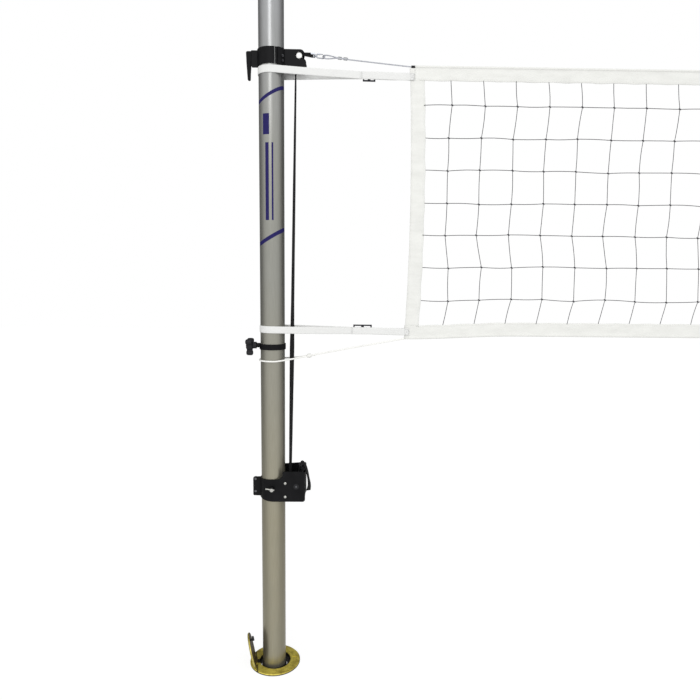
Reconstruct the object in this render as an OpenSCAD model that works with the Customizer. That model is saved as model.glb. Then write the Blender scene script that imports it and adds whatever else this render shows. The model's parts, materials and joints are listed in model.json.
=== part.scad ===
// Volleyball net on two socketed poles, with clamp collars and a strap winch.
// +X runs along the net from the winch pole to the far pole, and +Z is up.
// The origin is on the winch pole's axis at floor level. All sizes are in millimetres.

/* [Poles] */
// Outside diameter of a pole
pole_od = 88.9; // [87:0.1:90]
// Wall of a pole
pole_wall = 3.2; // [2.5:0.1:5]
// Height of a pole's top above the floor
pole_top_z = 2580; // [2520:5:2800]
// Distance between the two pole axes
pole_spacing = 10722; // [10400:1:11200]

/* [Floor sockets] */
// Depth of a socket sleeve below the floor
sleeve_depth = 240; // [180:5:400]
// Wall of a socket sleeve
sleeve_wall = 3.25; // [3:0.05:3.5]
// Diameter of a floor plate
plate_od = 194; // [184:1:220]
// Thickness of a floor plate
plate_t = 6; // [6:0.5:8]
// Diameter of a lid
lid_d = 130; // [126:1:132]
// Angle a lid stands open, from lying shut
lid_open_deg = 103; // [100:0.5:104]

/* [Net] */
// Height of the net's top edge
net_top_z = 2240; // [2130:5:2430]
// Height of the net itself
net_height = 955; // [900:5:1000]
// Gap from a pole's axis to the net's side edge
net_gap = 484; // [460:1:520]
// Width of the white tapes around the net
tape_w = 51; // [45:1:60]
// Thickness of those tapes
tape_t = 4; // [3:0.5:5]
// How far the side tapes bow inward at mid height
bow_depth = 12; // [0:1:20]
// Thickness of the net cords
cord_d = 3; // [2:0.5:4]
// Number of horizontal cords
mesh_rows = 7; // [5:1:9]
// Number of vertical cords
mesh_cols = 83; // [60:1:90]

/* [Straps and lines] */
// Width of the webbing
strap_w = 25.4; // [20:0.1:26]
// Thickness of the webbing
strap_t = 2.4; // [2:0.1:2.6]
// Diameter of the wire cable in the top hem
cable_d = 4; // [3:0.5:4.5]
// Diameter of the rope in the bottom hem
rope_d = 6; // [5:0.5:6.5]

/* [Winch] */
// Height of the winch drum's axle
winch_z = 728; // [600:1:900]
// Distance of the drum's axle from the pole's axis
drum_x = 89; // [88:0.5:90]
// Number of ratchet teeth
ratchet_teeth = 12; // [10:1:16]

/* [Hidden] */
$fn = 64;

// Clearances: fit is a sliding gap, slip a running one
fit = 0.3;
slip = 0.06;
long_cut = 400;
pole_r = pole_od / 2;

// Floor socket
sleeve_bore_r = pole_r + 0.8;
sleeve_r = sleeve_bore_r + sleeve_wall;
base_t = 6;
foot_t = 9;
lid_r = lid_d / 2;
plate_hole_r = 60;
plate_shift = [3, 3, 0];
plate_turn = 10;
hinge_x = -73;
hinge_z = 5;
lid_reach = 50;
lid_cut = 7;
hinge_pin_r = 2;
knuckle_r = 4;
knuckle_w = 26;
lid_t = 8;
lid_z0 = plate_t + 0.2;
latch_x = hinge_x + 94;
latch_r = 4;

// Net outline
net_x0 = net_gap;
net_x1 = pole_spacing - net_gap;
net_bottom_z = net_top_z - net_height;
net_mid_z = net_top_z - net_height / 2;
mesh_top_z = net_top_z - tape_w;
mesh_bottom_z = net_bottom_z + tape_w;
hem_r = 4.5;
hem_drop = 4.5;
notch_w = 18;
first_col = 104;
first_row = 82;
col_pitch = (net_x1 - net_x0 - 2 * tape_w - 2 * first_col) / (mesh_cols - 1);
row_pitch = (mesh_top_z - mesh_bottom_z - 2 * first_row) / (mesh_rows - 1);

// Clamp collars
band_bore_r = pole_r + fit;
band_r = band_bore_r + 3.5;
band_z = net_top_z - 13.5;
band_h = 54.5;
band_split_deg = -68.6;
boss_x = -68;
saddle_r = band_r + 4;
bracket_end_x = 122.5;
cheek_in = 15;
cheek_out = 20;
screw_deg = 38;
screw_r = 2.5;
lever_z = net_top_z + 24;
stud_r = 5;
pulley_x = 97.5;
pulley_z = net_top_z + 22.5;
pulley_r = 10;
axle_r = 4;
belt_wrap_r = pulley_r + fit + strap_t / 2;

// Line of the cable from the pulley down to the net's top corner
line_x1 = net_x0 + 2;
line_z1 = net_top_z - hem_drop;
line_drop = atan((pulley_z + belt_wrap_r - line_z1) / (line_x1 - pulley_x));
line_len = (line_x1 - pulley_x) / cos(line_drop) - belt_wrap_r * tan(line_drop) / 2;
hook_bar_s = 43;
hook_bar_r = 2.2;
hook_rod_r = 2.2;
gate_s = 68;
gate_pin_r = 1;
hook_arc_r = 6.5;
hook_arc_s0 = 66;
hook_arc_s1 = 81;
eye_tip_s = 81.8;
eye_r = 12.5;
eye_end_s = 170;
eye_tilt = 46;
eye_leg = cable_d + 0.3;

// Lower collars and the rope
low_z = net_bottom_z - 37;
low_h = 20.5;
low_r = band_bore_r + 3.3;
knob_stud_r = 4;
knob_z = low_z + 3;
knob_x = -59.5;
rope_z = net_bottom_z - 88;
rope_wrap_r = (pole_r + fit + rope_d / 2) / cos(10);
hitch_x = 134;

// Straps round the poles
strap_loop_r = pole_r + fit + strap_t / 2;
top_join_x = 318;
bottom_join_x = 294;
top_strap_z = net_top_z - 31;
top_strap_drop = 0.83;
bottom_strap_z = net_bottom_z + 27;

// Winch
winch_x1 = 122;
plate_in = pole_r + fit;
plate_out = plate_in + 4;
spacer_x = 48.5;
spacer_zs = [13, -39];
lug_x = -67;
lug_zs = [16, -32];
clamp_screw_z = -7;
bar_tilt = 8;
shaft_r = 8;
nose_r = 4.6;
bush_r = 10;
mandrel_r = 11;
belt_x = drum_x - 25.6;
roll_r = 25.6 - strap_t / 2 - fit;
tooth_tip_r = 27.5;
tooth_root_r = 22.5;
pawl_x = 108;
pawl_z = 44;
pawl_y0 = 16;
pawl_y1 = 24;

function unit(v) = v / norm(v);
function bow(z) = bow_depth * (1 - pow((z - net_mid_z) / (net_height / 2), 2));
function col_x(i) = net_x0 + tape_w + first_col + i * col_pitch;
function row_z(j) = mesh_top_z - first_row - j * row_pitch;
function on_line(s, n) = [
    pulley_x + s * cos(line_drop) + (belt_wrap_r + n) * sin(line_drop),
    pulley_z - s * sin(line_drop) + (belt_wrap_r + n) * cos(line_drop)
];
function far_x(p) = [pole_spacing - p[0], p[1], p[2]];
function reversed(p) = [for (i = [len(p) - 1:-1:0]) p[i]];

// ---- placing and drawing helpers ----

// Mirrors its children to the far pole
module at_far() {
    translate([pole_spacing, 0, 0])
        mirror([1, 0, 0])
            children();
}

module at_both() {
    children();
    at_far() children();
}

module tube(r_out, r_in, z0, z1) {
    translate([0, 0, z0])
        difference() {
            cylinder(h = z1 - z0, r = r_out);
            translate([0, 0, -1]) cylinder(h = z1 - z0 + 2, r = r_in);
        }
}

// Cylinder along Y at a place in the XZ plane
module y_rod(r, x, z, y0, y1) {
    translate([x, y1, z])
        rotate([90, 0, 0])
            cylinder(h = y1 - y0, r = r);
}

// Cylinder along X at a place in the YZ plane
module x_rod(r, y, z, x0, x1) {
    translate([x0, y, z])
        rotate([0, 90, 0])
            cylinder(h = x1 - x0, r = r);
}

// Extrudes a shape drawn in the XZ plane from y0 to y1
module xz_plate(y0, y1) {
    translate([0, y1, 0])
        rotate([90, 0, 0])
            linear_extrude(y1 - y0)
                children();
}

// Flat sector that keeps the side of a ring away from +X
module away_wedge(half_deg, r) {
    polygon(concat([[0, 0]], [for (k = [-2:2]) r * [cos(k * half_deg / 2), sin(k * half_deg / 2)]]));
}

// Round tube swept along points, with one reference direction that no tangent meets
module sweep_tube(p, r, ref, sides = 8) {
    n = len(p);
    rings = [for (i = [0:n - 1])
        let (t = unit(p[min(i + 1, n - 1)] - p[max(i - 1, 0)]), u = unit(cross(t, ref)), v = cross(u, t))
            for (k = [0:sides - 1]) p[i] + r * (cos(k * 360 / sides) * u + sin(k * 360 / sides) * v)];
    walls = [for (i = [0:n - 2]) for (k = [0:sides - 1])
        let (a = i * sides + k, b = i * sides + (k + 1) % sides) [a, b, b + sides, a + sides]];
    start = [[for (k = [sides - 1:-1:0]) k]];
    end = [[for (k = [0:sides - 1]) (n - 1) * sides + k]];
    polyhedron(rings, concat(start, walls, end), convexity = 6);
}

// Carries its children onto the cable line: X along the line, Z across it
module on_cable_line() {
    translate([pulley_x, 0, pulley_z])
        rotate([0, line_drop, 0])
            translate([0, 0, belt_wrap_r])
                children();
}

// ---- poles and floor sockets ----

module pole() {
    color("#a6a8a2") tube(pole_r, pole_r - pole_wall, base_t + foot_t - sleeve_depth, pole_top_z);
}

module winch_pole() {
    pole();
}

module far_pole() {
    at_far() pole();
}

module pole_caps() {
    plug_r = pole_r - pole_wall - 0.1;
    color("#1c1c1e")
        at_both()
            translate([0, 0, pole_top_z])
                rotate_extrude()
                    polygon([[0, -20], [plug_r, -20], [plug_r, 0], [pole_r, 0], [pole_r, 4],
                             [pole_r - 6, 8], [pole_r - 18, 11], [0, 13]]);
}

module pole_feet() {
    plug_r = pole_r - pole_wall - 0.1;
    color("#1c1c1e")
        at_both()
            translate([0, 0, base_t - sleeve_depth]) {
                cylinder(h = foot_t, r = pole_r - 0.4);
                cylinder(h = foot_t + 25, r = plug_r);
            }
}

module sleeve() {
    color("#8b8d8f") {
        tube(sleeve_r, sleeve_bore_r, -sleeve_depth, 0);
        translate([0, 0, -sleeve_depth]) cylinder(h = base_t, r = sleeve_bore_r + 1);
    }
}

module winch_sleeve() {
    sleeve();
}

module far_sleeve() {
    at_far() sleeve();
}

// Carries a floor plate piece from the pole's axis to its own centre and turn
module turned() {
    translate(plate_shift)
        rotate([0, 0, plate_turn])
            children();
}

// Brass ring over a sunk cup, with hinge knuckles in a pocket at the side away from the net
module floor_plate() {
    plate_r = plate_od / 2;
    cup_r = sleeve_r + 1.2;
    ear_y = knuckle_w / 2 + fit;
    ear_w = 6;
    color("#b39a3a")
        difference() {
            turned() {
                rotate_extrude()
                    polygon([[30, -12], [plate_hole_r + 4, -12], [plate_hole_r + 4, 0],
                             [plate_r, 0], [plate_r, plate_t - 2.5], [plate_r - 2.5, plate_t],
                             [plate_hole_r + 1, plate_t], [plate_hole_r, plate_t - 1],
                             [plate_hole_r, -9.5], [30, -9.5]]);
                translate([hinge_x - 10, -ear_y - 3, -6])
                    cube([21, ear_y * 2 + 6, 6.5]);
                for (side = [0, 1])
                    mirror([0, side, 0])
                        y_rod(knuckle_r, hinge_x, hinge_z, ear_y, ear_y + ear_w);
            }
            translate([0, 0, -20]) cylinder(h = 15, r = cup_r);
            turned() {
                translate([hinge_x - 6.5, -ear_y, -3])
                    cube([20, ear_y * 2, 20]);
                y_rod(hinge_pin_r + slip, hinge_x, hinge_z, -long_cut, long_cut);
                for (side = [0, 1])
                    mirror([0, side, 0])
                        translate([hinge_x + 1, ear_y + ear_w, plate_t - 2.5])
                            cube([3.5, plate_r, 5]);
                translate([plate_hole_r + 9, -4, plate_t - 1.5])
                    cube([18, 8, 4]);
            }
        }
}

module winch_floor_plate() {
    floor_plate();
}

module far_floor_plate() {
    at_far() floor_plate();
}

module lid_hinge_pins() {
    half = knuckle_w / 2 + fit + 7;
    color("#8d7a2c")
        at_both()
            turned()
                y_rod(hinge_pin_r, hinge_x, hinge_z, -half, half);
}

// Carries a lid piece from lying shut to its open place
module opened() {
    turned()
        translate([hinge_x, 0, hinge_z])
            rotate([0, -lid_open_deg, 0])
                translate([-hinge_x, 0, -hinge_z])
                    children();
}

// Round lid cut straight along its hinge side, with a raised rim and a knuckle on a tongue
module lid() {
    tongue_z = hinge_z - knuckle_r;
    color("#ab9338")
        opened()
            difference() {
                union() {
                    difference() {
                        translate([hinge_x + lid_reach, 0, lid_z0])
                            rotate_extrude()
                                polygon([[0, 0], [lid_r - 1, 0], [lid_r, 1], [lid_r, lid_t - 2.5],
                                         [lid_r - 2.5, lid_t], [lid_r - 9, lid_t],
                                         [lid_r - 10, lid_t - 0.8], [0, lid_t - 0.8]]);
                        translate([hinge_x - lid_r, -lid_r, lid_z0 - 1])
                            cube([lid_r + lid_cut, lid_d, lid_t + 2]);
                    }
                    translate([hinge_x, -knuckle_w / 2, tongue_z])
                        cube([12, knuckle_w, lid_z0 + 1 - tongue_z]);
                    y_rod(knuckle_r, hinge_x, hinge_z, -knuckle_w / 2, knuckle_w / 2);
                }
                y_rod(hinge_pin_r + slip, hinge_x, hinge_z, -knuckle_w, knuckle_w);
                translate([latch_x, 0, -10]) cylinder(h = 30, r = latch_r + slip);
            }
}

module winch_lid() {
    lid();
}

module far_lid() {
    at_far() lid();
}

// Quarter-turn latch: slotted head on top, cam that wedges in the sleeve below
module lid_latch() {
    color("#2a2a2a")
        opened()
            translate([latch_x, 0, 0]) {
                translate([0, 0, lid_z0 - 8]) cylinder(h = lid_t + 7.4, r = latch_r);
                translate([0, 0, lid_z0 + lid_t - 0.6])
                    difference() {
                        cylinder(h = 2, r = 7);
                        translate([-7, -1, 0.8]) cube([14, 2, 3]);
                    }
                translate([0, 0, lid_z0 - 14])
                    difference() {
                        translate([3, 0, 0]) cylinder(h = 6, r = 9);
                        translate([-20, 6, -1]) cube([40, 10, 8]);
                        translate([-20, -16, -1]) cube([40, 10, 8]);
                    }
            }
}

module winch_lid_latch() {
    lid_latch();
}

module far_lid_latch() {
    at_far() lid_latch();
}

// ---- winch ----

// Side outline of a winch plate, about the drum's axle height
module winch_outline(raise) {
    polygon(concat([[-76, 18], [-73, 21], [-50, 22], [-30, 25], [0, 26], [26, 28], [34, 33], [38, 42],
                    [39, 56 + raise / 3], [40, 57 + raise / 3]],
                   [for (a = [90:-15:0]) [winch_x1 - 7 + 7 * cos(a), 50 + raise + 7 * sin(a)]],
                   [for (a = [0:-15:-90]) [winch_x1 - 9 + 9 * cos(a), -49 + 9 * sin(a)]],
                   [[6, -58], [-14, -57], [-34, -54], [-50, -50], [-73, -49], [-76, -46]]));
}

// Front plate: a lug, a quarter wrap of the pole and a flat cheek; the rear one is its mirror
module winch_plate(raise) {
    translate([0, 0, winch_z])
        difference() {
            intersection() {
                xz_plate(-plate_out - 1, 1) winch_outline(raise);
                translate([0, 0, -80])
                    linear_extrude(160) {
                        intersection() {
                            difference() {
                                circle(plate_out);
                                circle(plate_in);
                            }
                            translate([-60, -60]) square([60, 58.5]);
                        }
                        translate([-1, -plate_out]) square([winch_x1 + 1, 4]);
                        translate([-76, -5.5]) square([76 - plate_in - 0.2, 4]);
                    }
            }
            for (z = lug_zs)
                y_rod(3.1, lug_x, z, -20, 20);
            for (z = spacer_zs)
                y_rod(3.6, spacer_x, z, -long_cut, 0);
            y_rod(bush_r + slip, drum_x, 0, -long_cut, 0);
        }
}

module winch_front_plate() {
    color("#18181a")
        difference() {
            union() {
                winch_plate(0);
                y_rod(8, 0, winch_z + clamp_screw_z, -plate_out - 5, -plate_in - 1);
            }
            y_rod(stud_r + slip, 0, winch_z + clamp_screw_z, -long_cut, -20);
        }
}

module winch_rear_plate() {
    color("#18181a")
        difference() {
            mirror([0, 1, 0]) winch_plate(8);
            y_rod(axle_r + slip, pawl_x, winch_z + pawl_z, 0, long_cut);
        }
}

module winch_end_wall() {
    color("#18181a")
        translate([winch_x1 - 5, -plate_in, winch_z - 50])
            cube([3, plate_in * 2, 84]);
}

module winch_clamp_bolts() {
    color("#9a9c9e")
        for (z = lug_zs)
            translate([0, 0, winch_z]) {
                y_rod(4.4, lug_x, z, -8.4, -5.5);
                y_rod(3, lug_x, z, -5.6, 10.5);
                translate([lug_x, 9.5, z]) rotate([90, 0, 0]) cylinder(h = 4, r = 5.6, $fn = 6);
            }
}

module winch_spacer_bolts() {
    color("#b4b6b8")
        for (z = spacer_zs)
            translate([0, 0, winch_z]) {
                translate([spacer_x, -plate_out, z])
                    rotate([90, 0, 0])
                        rotate_extrude()
                            polygon([[0, 0], [5.5, 0], [5.5, 1.4], [4.6, 2.8], [2.6, 3.8], [0, 4.1]]);
                y_rod(3.5, spacer_x, z, -plate_out - 0.1, plate_out + 6);
                translate([spacer_x, plate_out + 5, z])
                    rotate([90, 0, 0])
                        cylinder(h = 5, r = 6.4, $fn = 6);
            }
}

module drum_bushes() {
    color("#2a2a2c")
        for (side = [0, 1])
            mirror([0, side, 0])
                difference() {
                    union() {
                        y_rod(bush_r, drum_x, winch_z, -plate_out, -plate_in + 1);
                        y_rod(bush_r + 2, drum_x, winch_z, -plate_in, -plate_in + 2);
                    }
                    y_rod(side == 0 ? nose_r + slip : shaft_r, drum_x, winch_z, -long_cut, 0);
                    y_rod(shaft_r + slip, drum_x, winch_z, side == 0 ? 1 - plate_out : -long_cut, 0);
                }
}

// Shaft with the mandrel, the plain flange, a domed nose in front and a hexagonal drive end behind
module belt_drum() {
    color("#3c3d40") {
        y_rod(shaft_r, drum_x, winch_z, 1.3 - plate_out, plate_out + 3);
        translate([drum_x, 2 - plate_out, winch_z])
            rotate([90, 0, 0])
                rotate_extrude()
                    polygon([[0, 0], [nose_r, 0], [nose_r, 2.7], [4.4, 3.7], [3.6, 4.6], [2.2, 5.2], [0, 5.5]]);
        y_rod(mandrel_r, drum_x, winch_z, -16, 23);
        y_rod(25, drum_x, winch_z, -16, -14);
        translate([drum_x, plate_out + 14, winch_z])
            rotate([90, 0, 0])
                cylinder(h = 12, r = 7.5, $fn = 6);
    }
}

module ratchet_wheel() {
    step = 360 / ratchet_teeth;
    color("#77797c")
        difference() {
            translate([drum_x, 0, winch_z])
                xz_plate(17, 23)
                    polygon([for (i = [0:ratchet_teeth - 1]) for (k = [0, 1])
                        (k == 0 ? tooth_tip_r : tooth_root_r) * [cos(i * step + k * 5), sin(i * step + k * 5)]]);
            y_rod(mandrel_r + 0.05, drum_x, winch_z, 0, 40);
        }
}

// Webbing wound on the mandrel
module belt_roll() {
    color("#141414")
        difference() {
            y_rod(roll_r, drum_x, winch_z, -strap_w / 2, strap_w / 2);
            y_rod(mandrel_r + 0.05, drum_x, winch_z, -strap_w, strap_w);
        }
}

module pawl_pin() {
    color("#77797c") {
        y_rod(axle_r, pawl_x, winch_z + pawl_z, pawl_y0 - 3, plate_out + 0.5);
        y_rod(axle_r + 3, pawl_x, winch_z + pawl_z, plate_out, plate_out + 2.5);
        y_rod(axle_r + 2, pawl_x, winch_z + pawl_z, pawl_y0 - 3, pawl_y0 - 1.2);
    }
}

// Pawl riding on a tooth, with its thumb pad above the winch
module pawl() {
    color("#8d8f92")
        translate([pawl_x, 0, winch_z + pawl_z])
            difference() {
                union() {
                    xz_plate(pawl_y0, pawl_y1) {
                        circle(8);
                        polygon([[-8, 0], [-12.5, -12], [-9.6, -17.4], [-3, -12], [7, -4]]);
                        polygon([[-6, 4], [-10, 20], [-4, 20], [4, 6]]);
                    }
                    translate([-14, pawl_y0, 18]) cube([14, 18, 3]);
                }
                y_rod(axle_r + slip, 0, 0, 0, 40);
            }
}

// Carries the screw's cross bar: X along the bar, turned a little from level
module at_screw() {
    translate([0, -plate_out - 14, winch_z + clamp_screw_z])
        rotate([0, bar_tilt, 0])
            children();
}

module clamp_screw() {
    z = winch_z + clamp_screw_z;
    color("#c9c9c4")
        difference() {
            union() {
                y_rod(stud_r, 0, z, -plate_out - 9, -pole_r - 0.4);
                y_rod(6.5, 0, z, -plate_out - 21, -plate_out - 7);
            }
            at_screw() x_rod(2.5 + slip, 0, 0, -20, 20);
        }
}

module tommy_bar() {
    color("#c9c9c4")
        at_screw() {
            x_rod(2.5, 0, 0, -21, 8);
            x_rod(3.2, 0, 0, -22.5, -20);
            x_rod(3.2, 0, 0, 6.8, 9.3);
        }
}

// ---- lifting belt ----

// Free end of the belt, which leaves the drum over the top of the end wall and hangs down
module belt_tail() {
    mid = [[92, 25.5], [95, 40], [97.5, 55], [100.5, 69], [104.3, 77.8], [108.6, 80.6], [113.4, 76.8],
           [117.2, 71], [120.3, 65.1], [123.6, 56.8], [126, 47.9], [128.6, 37.5], [130.5, 26.8], [132, 18],
           [133.2, 9.6], [134.4, 1], [135.1, -7.7], [134.7, -16], [133.5, -23.5], [131.8, -30.5]];
    n = len(mid);
    twist = [for (i = [0:n - 1]) 48 * pow(max(i - 11, 0) / 8, 3)];
    rings = [for (i = [0:n - 1])
        let (d = unit(mid[min(i + 1, n - 1)] - mid[max(i - 1, 0)]), t = [d[0], 0, d[1]],
             w = unit([0, cos(twist[i]), 0] + sin(twist[i]) * cross(t, [0, 1, 0])), q = cross(w, t),
             c = [mid[i][0], 0, mid[i][1] + winch_z])
            for (k = [[-1, -1], [1, -1], [1, 1], [-1, 1]])
                c + k[0] * w * strap_w / 2 + k[1] * q * strap_t / 2];
    walls = [for (i = [0:n - 2]) for (k = [0:3])
        let (a = i * 4 + k, b = i * 4 + (k + 1) % 4) for (f = [[a, b, b + 4], [a, b + 4, a + 4]]) f];
    color("#141414")
        polyhedron(rings, concat([[3, 2, 1], [3, 1, 0]], walls,
                   [[4 * n - 4, 4 * n - 3, 4 * n - 2], [4 * n - 4, 4 * n - 2, 4 * n - 1]]), convexity = 4);
}

// Straight run of the belt from the drum up to the pulley
module lift_belt() {
    x1 = pulley_x - belt_wrap_r;
    z0 = winch_z + 1;
    lean = atan((x1 - belt_x) / (pulley_z - z0));
    color("#141414")
        translate([belt_x, 0, z0])
            rotate([0, lean, 0])
                translate([-strap_t / 2, -strap_w / 2, 0])
                    cube([strap_t, strap_w, (pulley_z - z0) / cos(lean) - 0.2]);
}

// Webbing folded round a bar on the cable line, with its two layers sewn together
module sewn_fold(s0, bar_s, bar_r) {
    difference() {
        union() {
            translate([s0, -strap_t * 1.5]) square([bar_s - s0, strap_t * 2]);
            translate([bar_s, -strap_t / 2]) circle(bar_r + strap_t);
        }
        translate([bar_s, -strap_t / 2]) circle(bar_r + 0.1);
    }
}

// Belt over the pulley and out to the snap hook
module belt_end() {
    color("#141414")
        translate([0, strap_w / 2, 0]) {
            translate([pulley_x, 0, pulley_z])
                rotate([90, 0, 0])
                    linear_extrude(strap_w)
                        difference() {
                            circle(belt_wrap_r + strap_t / 2);
                            circle(belt_wrap_r - strap_t / 2);
                            translate([-20, -40]) square([60, 40]);
                            rotate(-line_drop) translate([0, -20]) square([40, 60]);
                        }
            translate([0, -strap_w / 2, 0])
                on_cable_line()
                    xz_plate(-strap_w / 2, strap_w / 2) {
                        translate([-0.1, -strap_t / 2]) square([19.1, strap_t]);
                        sewn_fold(18, hook_bar_s, hook_bar_r);
                    }
        }
}

module pulley() {
    color("#f2f2ee")
        difference() {
            y_rod(pulley_r, pulley_x, pulley_z, -14, 14);
            y_rod(axle_r + slip, pulley_x, pulley_z, -20, 20);
        }
}

module pulley_axle() {
    color("#b4b6b8") {
        y_rod(axle_r, pulley_x, pulley_z, -14.9, cheek_out + 1);
        y_rod(6, pulley_x, pulley_z, -14.9, -14.2);
        translate([pulley_x, cheek_out + 5, pulley_z])
            rotate([90, 0, 0])
                cylinder(h = 5, r = 7, $fn = 6);
    }
}

// ---- clamp collars ----

// Places screws radially round the right-hand side of a collar
module at_screws() {
    for (side = [-1, 1])
        for (dz = [12, 28])
            translate([0, 0, band_z + dz])
                rotate([0, 0, side * screw_deg])
                    rotate([0, 90, 0])
                        children();
}

// Split band round the pole with the boss for the clamp lever
module collar_band() {
    color("#1b1b1e")
        difference() {
            union() {
                translate([0, 0, band_z]) cylinder(h = band_h, r = band_r);
                translate([boss_x, -11, band_z + 1]) cube([-boss_x - 40, 22, band_h - 4]);
            }
            translate([0, 0, band_z - 1]) cylinder(h = band_h + 2, r = band_bore_r);
            translate([0, 0, band_z - 1])
                rotate([0, 0, band_split_deg])
                    translate([30, -1.6, 0])
                        cube([30, 3.2, band_h + 2]);
            x_rod(stud_r + slip, 0, lever_z, -100, -20);
            at_screws() cylinder(h = 100, r = screw_r + 0.1);
        }
}

module winch_collar_band() {
    collar_band();
}

module far_collar_band() {
    at_far() collar_band();
}

// Side outline of a bracket cheek, with a beak over the mouth when it is open
module cheek_outline(open) {
    x1 = bracket_end_x;
    z0 = band_z;
    z1 = band_z + band_h;
    difference() {
        polygon(concat([[44, z0], [x1, z0], [x1, z0 + 12]],
            [for (a = [10:20:90]) [x1 - 14 + 14 * cos(a), z0 + 12 + 13 * sin(a)]],
            open ? [[108, z1 - 22], [111, z1 - 12], [115.5, z1 - 8]] : [[113, z1 - 22], [115.5, z1 - 10]],
            [for (a = [20:20:90]) [101 + 13 * cos(a), z1 - 9 + 9 * sin(a)]], [[44, z1]]));
        if (open)
            translate([pulley_x, pulley_z]) {
                circle(11.5);
                polygon([[0, -9], [20, -9], [24, 6], [8, 8.5]]);
            }
    }
}

// Saddle round the band with two cheeks that carry the pulley or the anchor pin
module collar_bracket(open) {
    color("#1b1b1e")
        difference() {
            union() {
                intersection() {
                    translate([0, 0, band_z])
                        difference() {
                            cylinder(h = band_h, r = saddle_r);
                            translate([0, 0, -1]) cylinder(h = band_h + 2, r = band_r + 0.05);
                        }
                    translate([0, 0, band_z - 1]) linear_extrude(band_h + 2) away_wedge(58, 80);
                }
                difference() {
                    union() {
                        xz_plate(-cheek_out, -cheek_in) cheek_outline(open);
                        xz_plate(cheek_in, cheek_out) cheek_outline(false);
                        translate([48, -cheek_in - 1, band_z]) cube([24, cheek_in * 2 + 2, 4]);
                    }
                    translate([0, 0, band_z - 1]) cylinder(h = band_h + 2, r = band_r + 2);
                }
            }
            at_screws() cylinder(h = 100, r = screw_r + 0.1);
            if (open)
                y_rod(axle_r + 0.1, pulley_x, pulley_z, 0, 50);
            else
                y_rod(stud_r + 0.1, pulley_x, on_line(0, 0)[1], -50, 50);
        }
}

module winch_collar_bracket() {
    collar_bracket(true);
}

module far_collar_bracket() {
    at_far() collar_bracket(false);
}

module collar_screws() {
    color("#3a3b3d")
        at_both()
            at_screws()
                difference() {
                    union() {
                        translate([0, 0, band_bore_r + 0.4]) cylinder(h = 10, r = screw_r);
                        translate([0, 0, saddle_r]) cylinder(h = 3.2, r = 4.5);
                    }
                    translate([0, 0, saddle_r + 1.2]) cylinder(h = 4, r = 2.3, $fn = 6);
                }
}

// Clamp lever: hub on the boss, arm hanging down, stud that presses on the pole
module collar_lever() {
    x0 = boss_x - 17.5;
    x1 = boss_x - 0.5;
    color("#202023") {
        intersection() {
            xz_plate(-20, 20)
                polygon(concat([[x1, lever_z - 15], [x1, lever_z + 15], [x0 + 9, lever_z + 15]],
                    [for (a = [100:20:180]) [x0 + 9 + 9 * cos(a), lever_z + 6 + 9 * sin(a)]],
                    [[x0 + 1, lever_z - 30], [x0 + 3.5, lever_z - 74]],
                    [for (a = [200:20:340]) [x0 + 8.5 + 5 * cos(a), lever_z - 79 + 5 * sin(a)]],
                    [[x0 + 13.5, lever_z - 60], [x1 - 1.5, lever_z - 26]]));
            hull() {
                x_rod(14, 0, lever_z, -100, -60, $fn = 36);
                x_rod(6.5, 0, lever_z - 78, -100, -60, $fn = 36);
            }
        }
        x_rod(stud_r, 0, lever_z, boss_x - 2, -pole_r - 0.4);
    }
}

module winch_collar_lever() {
    collar_lever();
}

module far_collar_lever() {
    at_far() collar_lever();
}

module lower_collars() {
    color("#1b1b1e")
        at_both()
            difference() {
                union() {
                    tube(low_r, band_bore_r, low_z - low_h / 2, low_z + low_h / 2);
                    x_rod(8.5, 0, knob_z, knob_x + 0.5, -band_bore_r - 1);
                }
                x_rod(knob_stud_r + slip, 0, knob_z, -100, -20);
            }
}

// Disc with rounded edges, as thick as the knob's lobes
module round_disc(r) {
    rotate([0, 90, 0])
        rotate_extrude()
            polygon([[0, -12], [r - 4, -12], [r - 1.8, -10.6], [r - 0.4, -7.6], [r, -3],
                     [r, 3], [r - 0.4, 7.6], [r - 1.8, 10.6], [r - 4, 12], [0, 12]]);
}

// Three-lobed knob with its stud
module collar_knob() {
    color("#1d1d1f")
        translate([knob_x, 0, knob_z]) {
            x_rod(12.5, 0, 0, -15, 0);
            translate([-25.2, 0, 0]) {
                round_disc(18);
                for (a = [0, 120, 240])
                    rotate([a, 0, 0]) {
                        translate([-10, -6.5, -27]) cube([20, 13, 20]);
                        translate([0, 0, -28]) round_disc(10);
                    }
            }
            x_rod(knob_stud_r, 0, 0, -1, -pole_r - 0.4 - knob_x);
        }
}

module winch_collar_knob() {
    collar_knob();
}

module far_collar_knob() {
    at_far() collar_knob();
}

// ---- hooks and cable ----

module anchor_pin() {
    z = on_line(0, 0)[1];
    color("#b4b6b8")
        at_far() {
            y_rod(stud_r, pulley_x, z, -cheek_out - 1, cheek_out + 1);
            y_rod(stud_r + 2.5, pulley_x, z, -cheek_out - 4, -cheek_out);
            y_rod(stud_r + 2.5, pulley_x, z, cheek_out, cheek_out + 4);
        }
}

// Short webbing loop from the anchor pin to the far snap hook
module anchor_strap() {
    z = on_line(0, 0)[1];
    color("#141414")
        at_far()
            difference() {
                union() {
                    y_rod(stud_r + 0.1 + strap_t, pulley_x, z, -strap_w / 2, strap_w / 2);
                    on_cable_line()
                        xz_plate(-strap_w / 2, strap_w / 2)
                            sewn_fold(6, hook_bar_s, hook_bar_r);
                }
                y_rod(stud_r + 0.1, pulley_x, z, -40, 40);
            }
}

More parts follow.
